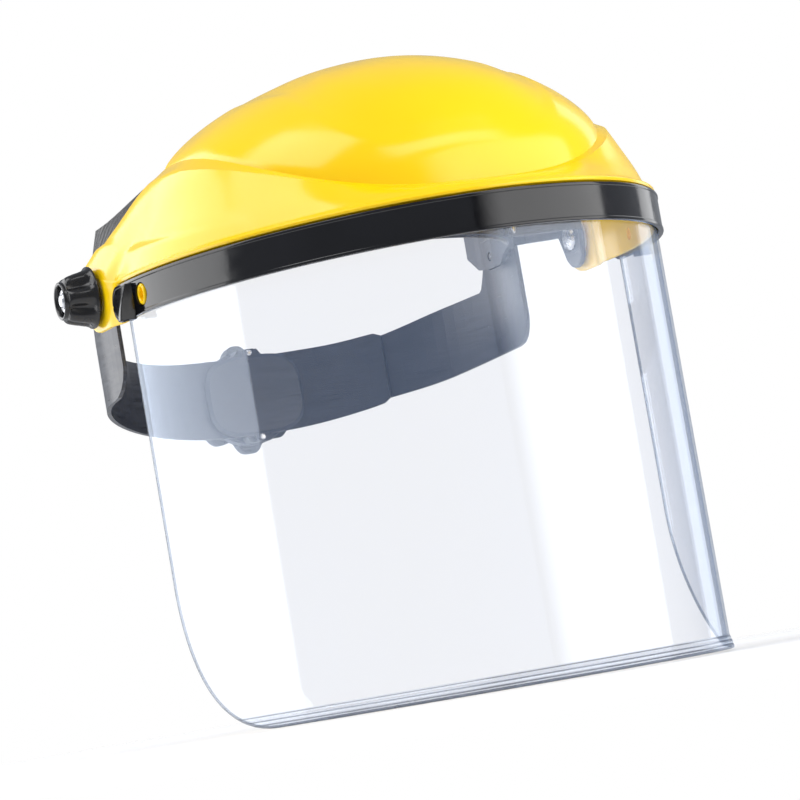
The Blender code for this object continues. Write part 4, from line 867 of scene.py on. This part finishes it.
def build_sweatband(material, thread):
    """Crowned foam pad with a sewn edge, along the inside of the forehead band."""
    low, high = BAND_BOX
    ring_y, half_width, half_length = 50 * MM, 93 * MM, 103 * MM
    band_thick, back_thick, pad_thick = 2.5 * MM, 0.5 * MM, 5.6 * MM

    def ring(angle, offset):
        """Plan point of the head's oval, moved outward by offset."""
        x = half_width * math.sin(angle)
        y = ring_y - half_length * math.cos(angle)
        nx, ny = x / half_width**2, (y - ring_y) / half_length**2
        scale = offset / math.hypot(nx, ny)
        return x + nx * scale, y + ny * scale

    columns = []
    for angle in np.radians(np.linspace(-70, 70, 121)):
        part = abs(math.degrees(angle))
        end = smoothstep(part, 62, 70)
        pinch = 0.5 * MM * (0.5 + 0.5 * math.cos(angle * 34)) * (1 - end)
        bottom = low.z + 8 * MM * end
        top = high.z - 9 * MM * end
        section = []
        for turn in np.linspace(0, math.tau, 40, endpoint=False):
            across, deep = math.sin(turn), math.cos(turn)
            across = math.copysign(abs(across) ** 0.72, across)
            deep = math.copysign(abs(deep) ** 0.62, deep)
            if deep > 0:  # the side towards the forehead
                thick = pad_thick * (1 - 0.62 * end) - pinch * (1 - across**2)
                depth = thick * (1 - 0.45 * across**4) * deep
            else:
                depth = back_thick * deep
            x, y = ring(angle, -band_thick - back_thick - depth)
            section.append((x, y, (top + bottom) / 2 + (top - bottom) / 2 * across))
        columns.append(section)
    pad = mesh_object("sweatband_pad", *loop_shell(columns), 50)
    subdivide = pad.modifiers.new("soft", "SUBSURF")
    subdivide.levels = subdivide.render_levels = 1
    finish_piece(pad, "headgear", "sweatband_foam", material, "sweatband")
    # two rows of stitches along the pad's edges, each stitch a bar of four sides
    half_stitch, stitch_offset, hem = math.radians(0.62), -7.15 * MM, 3.2 * MM
    for name, height in (("upper", high.z - hem), ("lower", low.z + hem)):
        verts, faces = [], []
        for k, middle in enumerate(np.radians(np.arange(-60, 60.1, 2.0))):
            for step in (-1, 1):
                for dz, dr in ((-0.3, 0.0), (0.0, 0.28), (0.3, 0.0), (0.0, -0.28)):
                    x, y = ring(middle + step * half_stitch, stitch_offset - dr * MM)
                    verts.append((x, y, height + dz * MM))
            base = k * 8
            faces += ring_faces(2 * k, 2 * k + 1, 4)
            faces += [[base + i for i in range(4)], [base + i for i in range(4, 8)]]
        stitches = mesh_object(f"sweatband_stitches_{name}", verts, faces, 60)
        finish_piece(stitches, "headgear", "sweatband_foam", thread)


# ---------------------------------------------------------------- carried-over nodes

def dress(names, material, bevel):
    """Give CAD nodes a material and rounded edges."""
    for name in names:
        obj = nodes[name]
        obj.data.materials.clear()
        obj.data.materials.append(material)
        weld = obj.modifiers.new("joined corners", "WELD")
        weld.merge_threshold = CAD_WELD_DISTANCE
        soften(obj, bevel, 2, 42)


# ---------------------------------------------------------------- stage

def place(obj, centre, facing):
    """Put a soft box at centre, turned to face a point; the camera doesn't see it."""
    obj.location = centre
    obj.rotation_euler = (Vector(centre) - Vector(facing)).to_track_quat("Z", "Y").to_euler()
    obj.visible_camera = False
    bpy.context.scene.collection.objects.link(obj)


def soft_box(name, centre, size, facing, strength):
    """Rectangular area light with the same strength per area whatever its size."""
    light = bpy.data.lights.new(name, "AREA")
    light.shape = "RECTANGLE"
    light.size, light.size_y = size
    light.energy = strength * size[0] * size[1] * math.pi
    place(bpy.data.objects.new(name, light), centre, facing)


def glow_card(name, centre, size, facing, strength, fade):
    """Soft box whose light fades out over a width at its -X end."""
    w, h = size[0] / 2, size[1] / 2
    mesh = bpy.data.meshes.new(name)
    mesh.from_pydata([(-w, -h, 0), (w, -h, 0), (w, h, 0), (-w, h, 0)], [], [[0, 3, 2, 1]])
    card = bpy.data.objects.new(name, mesh)
    material = bpy.data.materials.new(name)
    material.use_nodes = True
    tree = material.node_tree
    tree.nodes.clear()
    out = tree.nodes.new("ShaderNodeOutputMaterial")
    emission = tree.nodes.new("ShaderNodeEmission")
    coords = tree.nodes.new("ShaderNodeTexCoord")
    split = tree.nodes.new("ShaderNodeSeparateXYZ")
    ramp = tree.nodes.new("ShaderNodeMapRange")
    ramp.interpolation_type = "SMOOTHSTEP"
    ramp.inputs["From Min"].default_value = -w
    ramp.inputs["From Max"].default_value = fade - w
    ramp.inputs["To Max"].default_value = strength
    tree.links.new(coords.outputs["Object"], split.inputs["Vector"])
    tree.links.new(split.outputs["X"], ramp.inputs["Value"])
    tree.links.new(ramp.outputs["Result"], emission.inputs["Strength"])
    tree.links.new(emission.outputs["Emission"], out.inputs["Surface"])
    mesh.materials.append(material)
    place(card, centre, facing)


def compass(azimuth, distance, height):
    """Point at an azimuth: 0 is ahead of the wearer, positive to the wearer's left."""
    a = math.radians(azimuth)
    return math.sin(a) * distance, -math.cos(a) * distance, height


def build_stage():
    """White world for the camera, dimmer cool fill for everything else, and soft boxes."""
    world = bpy.data.worlds.new("studio")
    bpy.context.scene.world = world
    world.use_nodes = True
    tree = world.node_tree
    tree.nodes.clear()
    out = tree.nodes.new("ShaderNodeOutputWorld")
    mix = tree.nodes.new("ShaderNodeMixShader")
    path = tree.nodes.new("ShaderNodeLightPath")
    seen = tree.nodes.new("ShaderNodeBackground")
    fill = tree.nodes.new("ShaderNodeBackground")
    seen.inputs["Color"].default_value = (1, 1, 1, 1)
    seen.inputs["Strength"].default_value = 1.0
    fill.inputs["Color"].default_value = (0.86, 0.91, 1.0, 1)
    fill.inputs["Strength"].default_value = 0.38
    tree.links.new(path.outputs["Is Camera Ray"], mix.inputs[0])
    tree.links.new(fill.outputs["Background"], mix.inputs[1])
    tree.links.new(seen.outputs["Background"], mix.inputs[2])
    tree.links.new(mix.outputs["Shader"], out.inputs["Surface"])

    aim = (0, -0.06, -0.02)
    soft_box("left soft box", compass(-131, 1.5, 0.25), (1.8, 1.9), aim, 2.8)
    soft_box("near side soft box", compass(-84, 0.85, 1.2), (1.15, 0.95), aim, 3.2)
    soft_box("front soft box", compass(14, 1.25, 1.3), (1.5, 0.5), aim, 3.4)
    soft_box("rear soft box", compass(118, 1.6, 0.2), (0.42, 1.6), aim, 1.3)
    glow_card("right soft box", compass(38, 1.7, 0.25), (3.0, 1.7), aim, 3.0, 0.75)
    bpy.context.scene.view_settings.view_transform = "Standard"


def build_floor():
    """Pale floor just below the object, whose alpha fades out into the white world."""
    size, steps, fade_start, fade_end = 0.9, 24, 0.35, 0.8
    line = np.linspace(-size, size, steps)
    z = cad_box[0][2] - 1.0 * MM
    verts = [(x, y, z) for y in line for x in line]
    faces = [[r * steps + c, r * steps + c + 1, (r + 1) * steps + c + 1, (r + 1) * steps + c]
             for r in range(steps - 1) for c in range(steps - 1)]
    floor = mesh_object("floor", verts, faces)
    s = Shader("pale floor", (0.93, 0.93, 0.935), 0.8)
    s.tint(s.ramp(s.noise(3, 4), 0.3, 0.8), (0.9, 0.9, 0.905))
    s.bump(s.noise(300, 3), 0.0002, 0.3)
    length = s.node("ShaderNodeVectorMath", operation="LENGTH")
    s.link(s.coords, length.inputs[0])
    s.link(s.ramp(length.outputs["Value"], fade_start, fade_end, 1.0, 0.0),
           s.main.inputs["Alpha"])
    floor.data.materials.append(s.material)


def build_camera():
    """The photograph's camera, fitted to the strip, the visor and the knobs."""
    azimuth, elevation, roll = (math.radians(a) for a in (-22.3, -4.4, 9.8))
    location, focal_length, sensor = (-0.5624, -1.4069, -0.1782), 157.5, 36
    level = math.cos(elevation)
    back = Vector((math.sin(azimuth) * level, -math.cos(azimuth) * level, math.sin(elevation)))
    right = Vector((math.cos(azimuth), math.sin(azimuth), 0))
    up = back.cross(right)
    camera = bpy.data.objects.new("camera", bpy.data.cameras.new("camera"))
    matrix = Matrix.Identity(4)
    matrix.col[0] = (*(right * math.cos(roll) - up * math.sin(roll)), 0)
    matrix.col[1] = (*(right * math.sin(roll) + up * math.cos(roll)), 0)
    matrix.col[2] = (*back, 0)
    matrix.col[3] = (*location, 1)
    camera.matrix_world = matrix
    camera.data.sensor_width = sensor
    camera.data.lens = focal_length
    camera.data.clip_end = 50
    bpy.context.scene.collection.objects.link(camera)
    bpy.context.scene.camera = camera


# ---------------------------------------------------------------- assembly

def build():
    build_camera()
    build_stage()
    build_floor()
    yellow = yellow_plastic()
    strip_black = gloss_black("gloss black strip", 0.10)
    knob_black = gloss_black("moulded black knob", 0.2, 0.004)
    satin = satin_black("satin black strap", (0.017, 0.020, 0.030), (0.042, 0.048, 0.066))
    ribbed = satin_black("ribbed black strap", (0.008, 0.008, 0.010), (0.02, 0.02, 0.024),
                         ribs=130.0)
    zinc_x = steel("bright zinc turned", "X")
    zinc_y = steel("bright zinc screw", "Y")
    natural = acetal()
    pad = foam()
    thread = Shader("stitching thread", (0.16, 0.16, 0.17), 0.8, Sheen_Weight=0.3)
    thread.bump(thread.noise(3000, 2), 0.0001, 0.6)
    thread.tint(thread.ramp(thread.noise(900, 2), 0.3, 0.7), (0.24, 0.24, 0.25))

    build_brow_guard(yellow)
    build_visor_strip(strip_black)
    build_visor(clear_sheet(), sheet_edge())
    for side, label in SIDES:
        build_side_knob(side, label, knob_black)
        dress([f"tilt_bolt_{label}", f"knob_nut_{label}"], zinc_x, 0.25 * MM)
        dress([f"spring_washer_{label}"], zinc_x, 0.12 * MM)
        dress([f"friction_washer_{label}"], natural, 0.12 * MM)
        dress([f"side_bracket_{label}", f"nape_strap_{label}"], satin, 0.35 * MM)
        dress([f"crown_strap_{label}"], ribbed, 0.3 * MM)
        dress([f"bracket_rivet_{label}_{end}" for end in ("front", "rear")], zinc_x, 0.15 * MM)
        dress([f"crown_strap_pin_{label}"], knob_black, 0.25 * MM)
        dress([f"strap_stud_{label}_{end}" for end in ("lower", "upper")], knob_black, 0.2 * MM)
    build_ratchet_knob(knob_black)
    build_sweatband(pad, thread.material)
    dress(["forehead_band"], satin, 0.35 * MM)
    dress(["ratchet_housing", "ratchet_inner_cover"], satin, 0.3 * MM)
    dress(["housing_screw_lower", "housing_screw_upper", "ratchet_screw"], zinc_y, 0.15 * MM)
    dress(["pinion_gear", "pawl_spring"], natural, 0.12 * MM)


build()
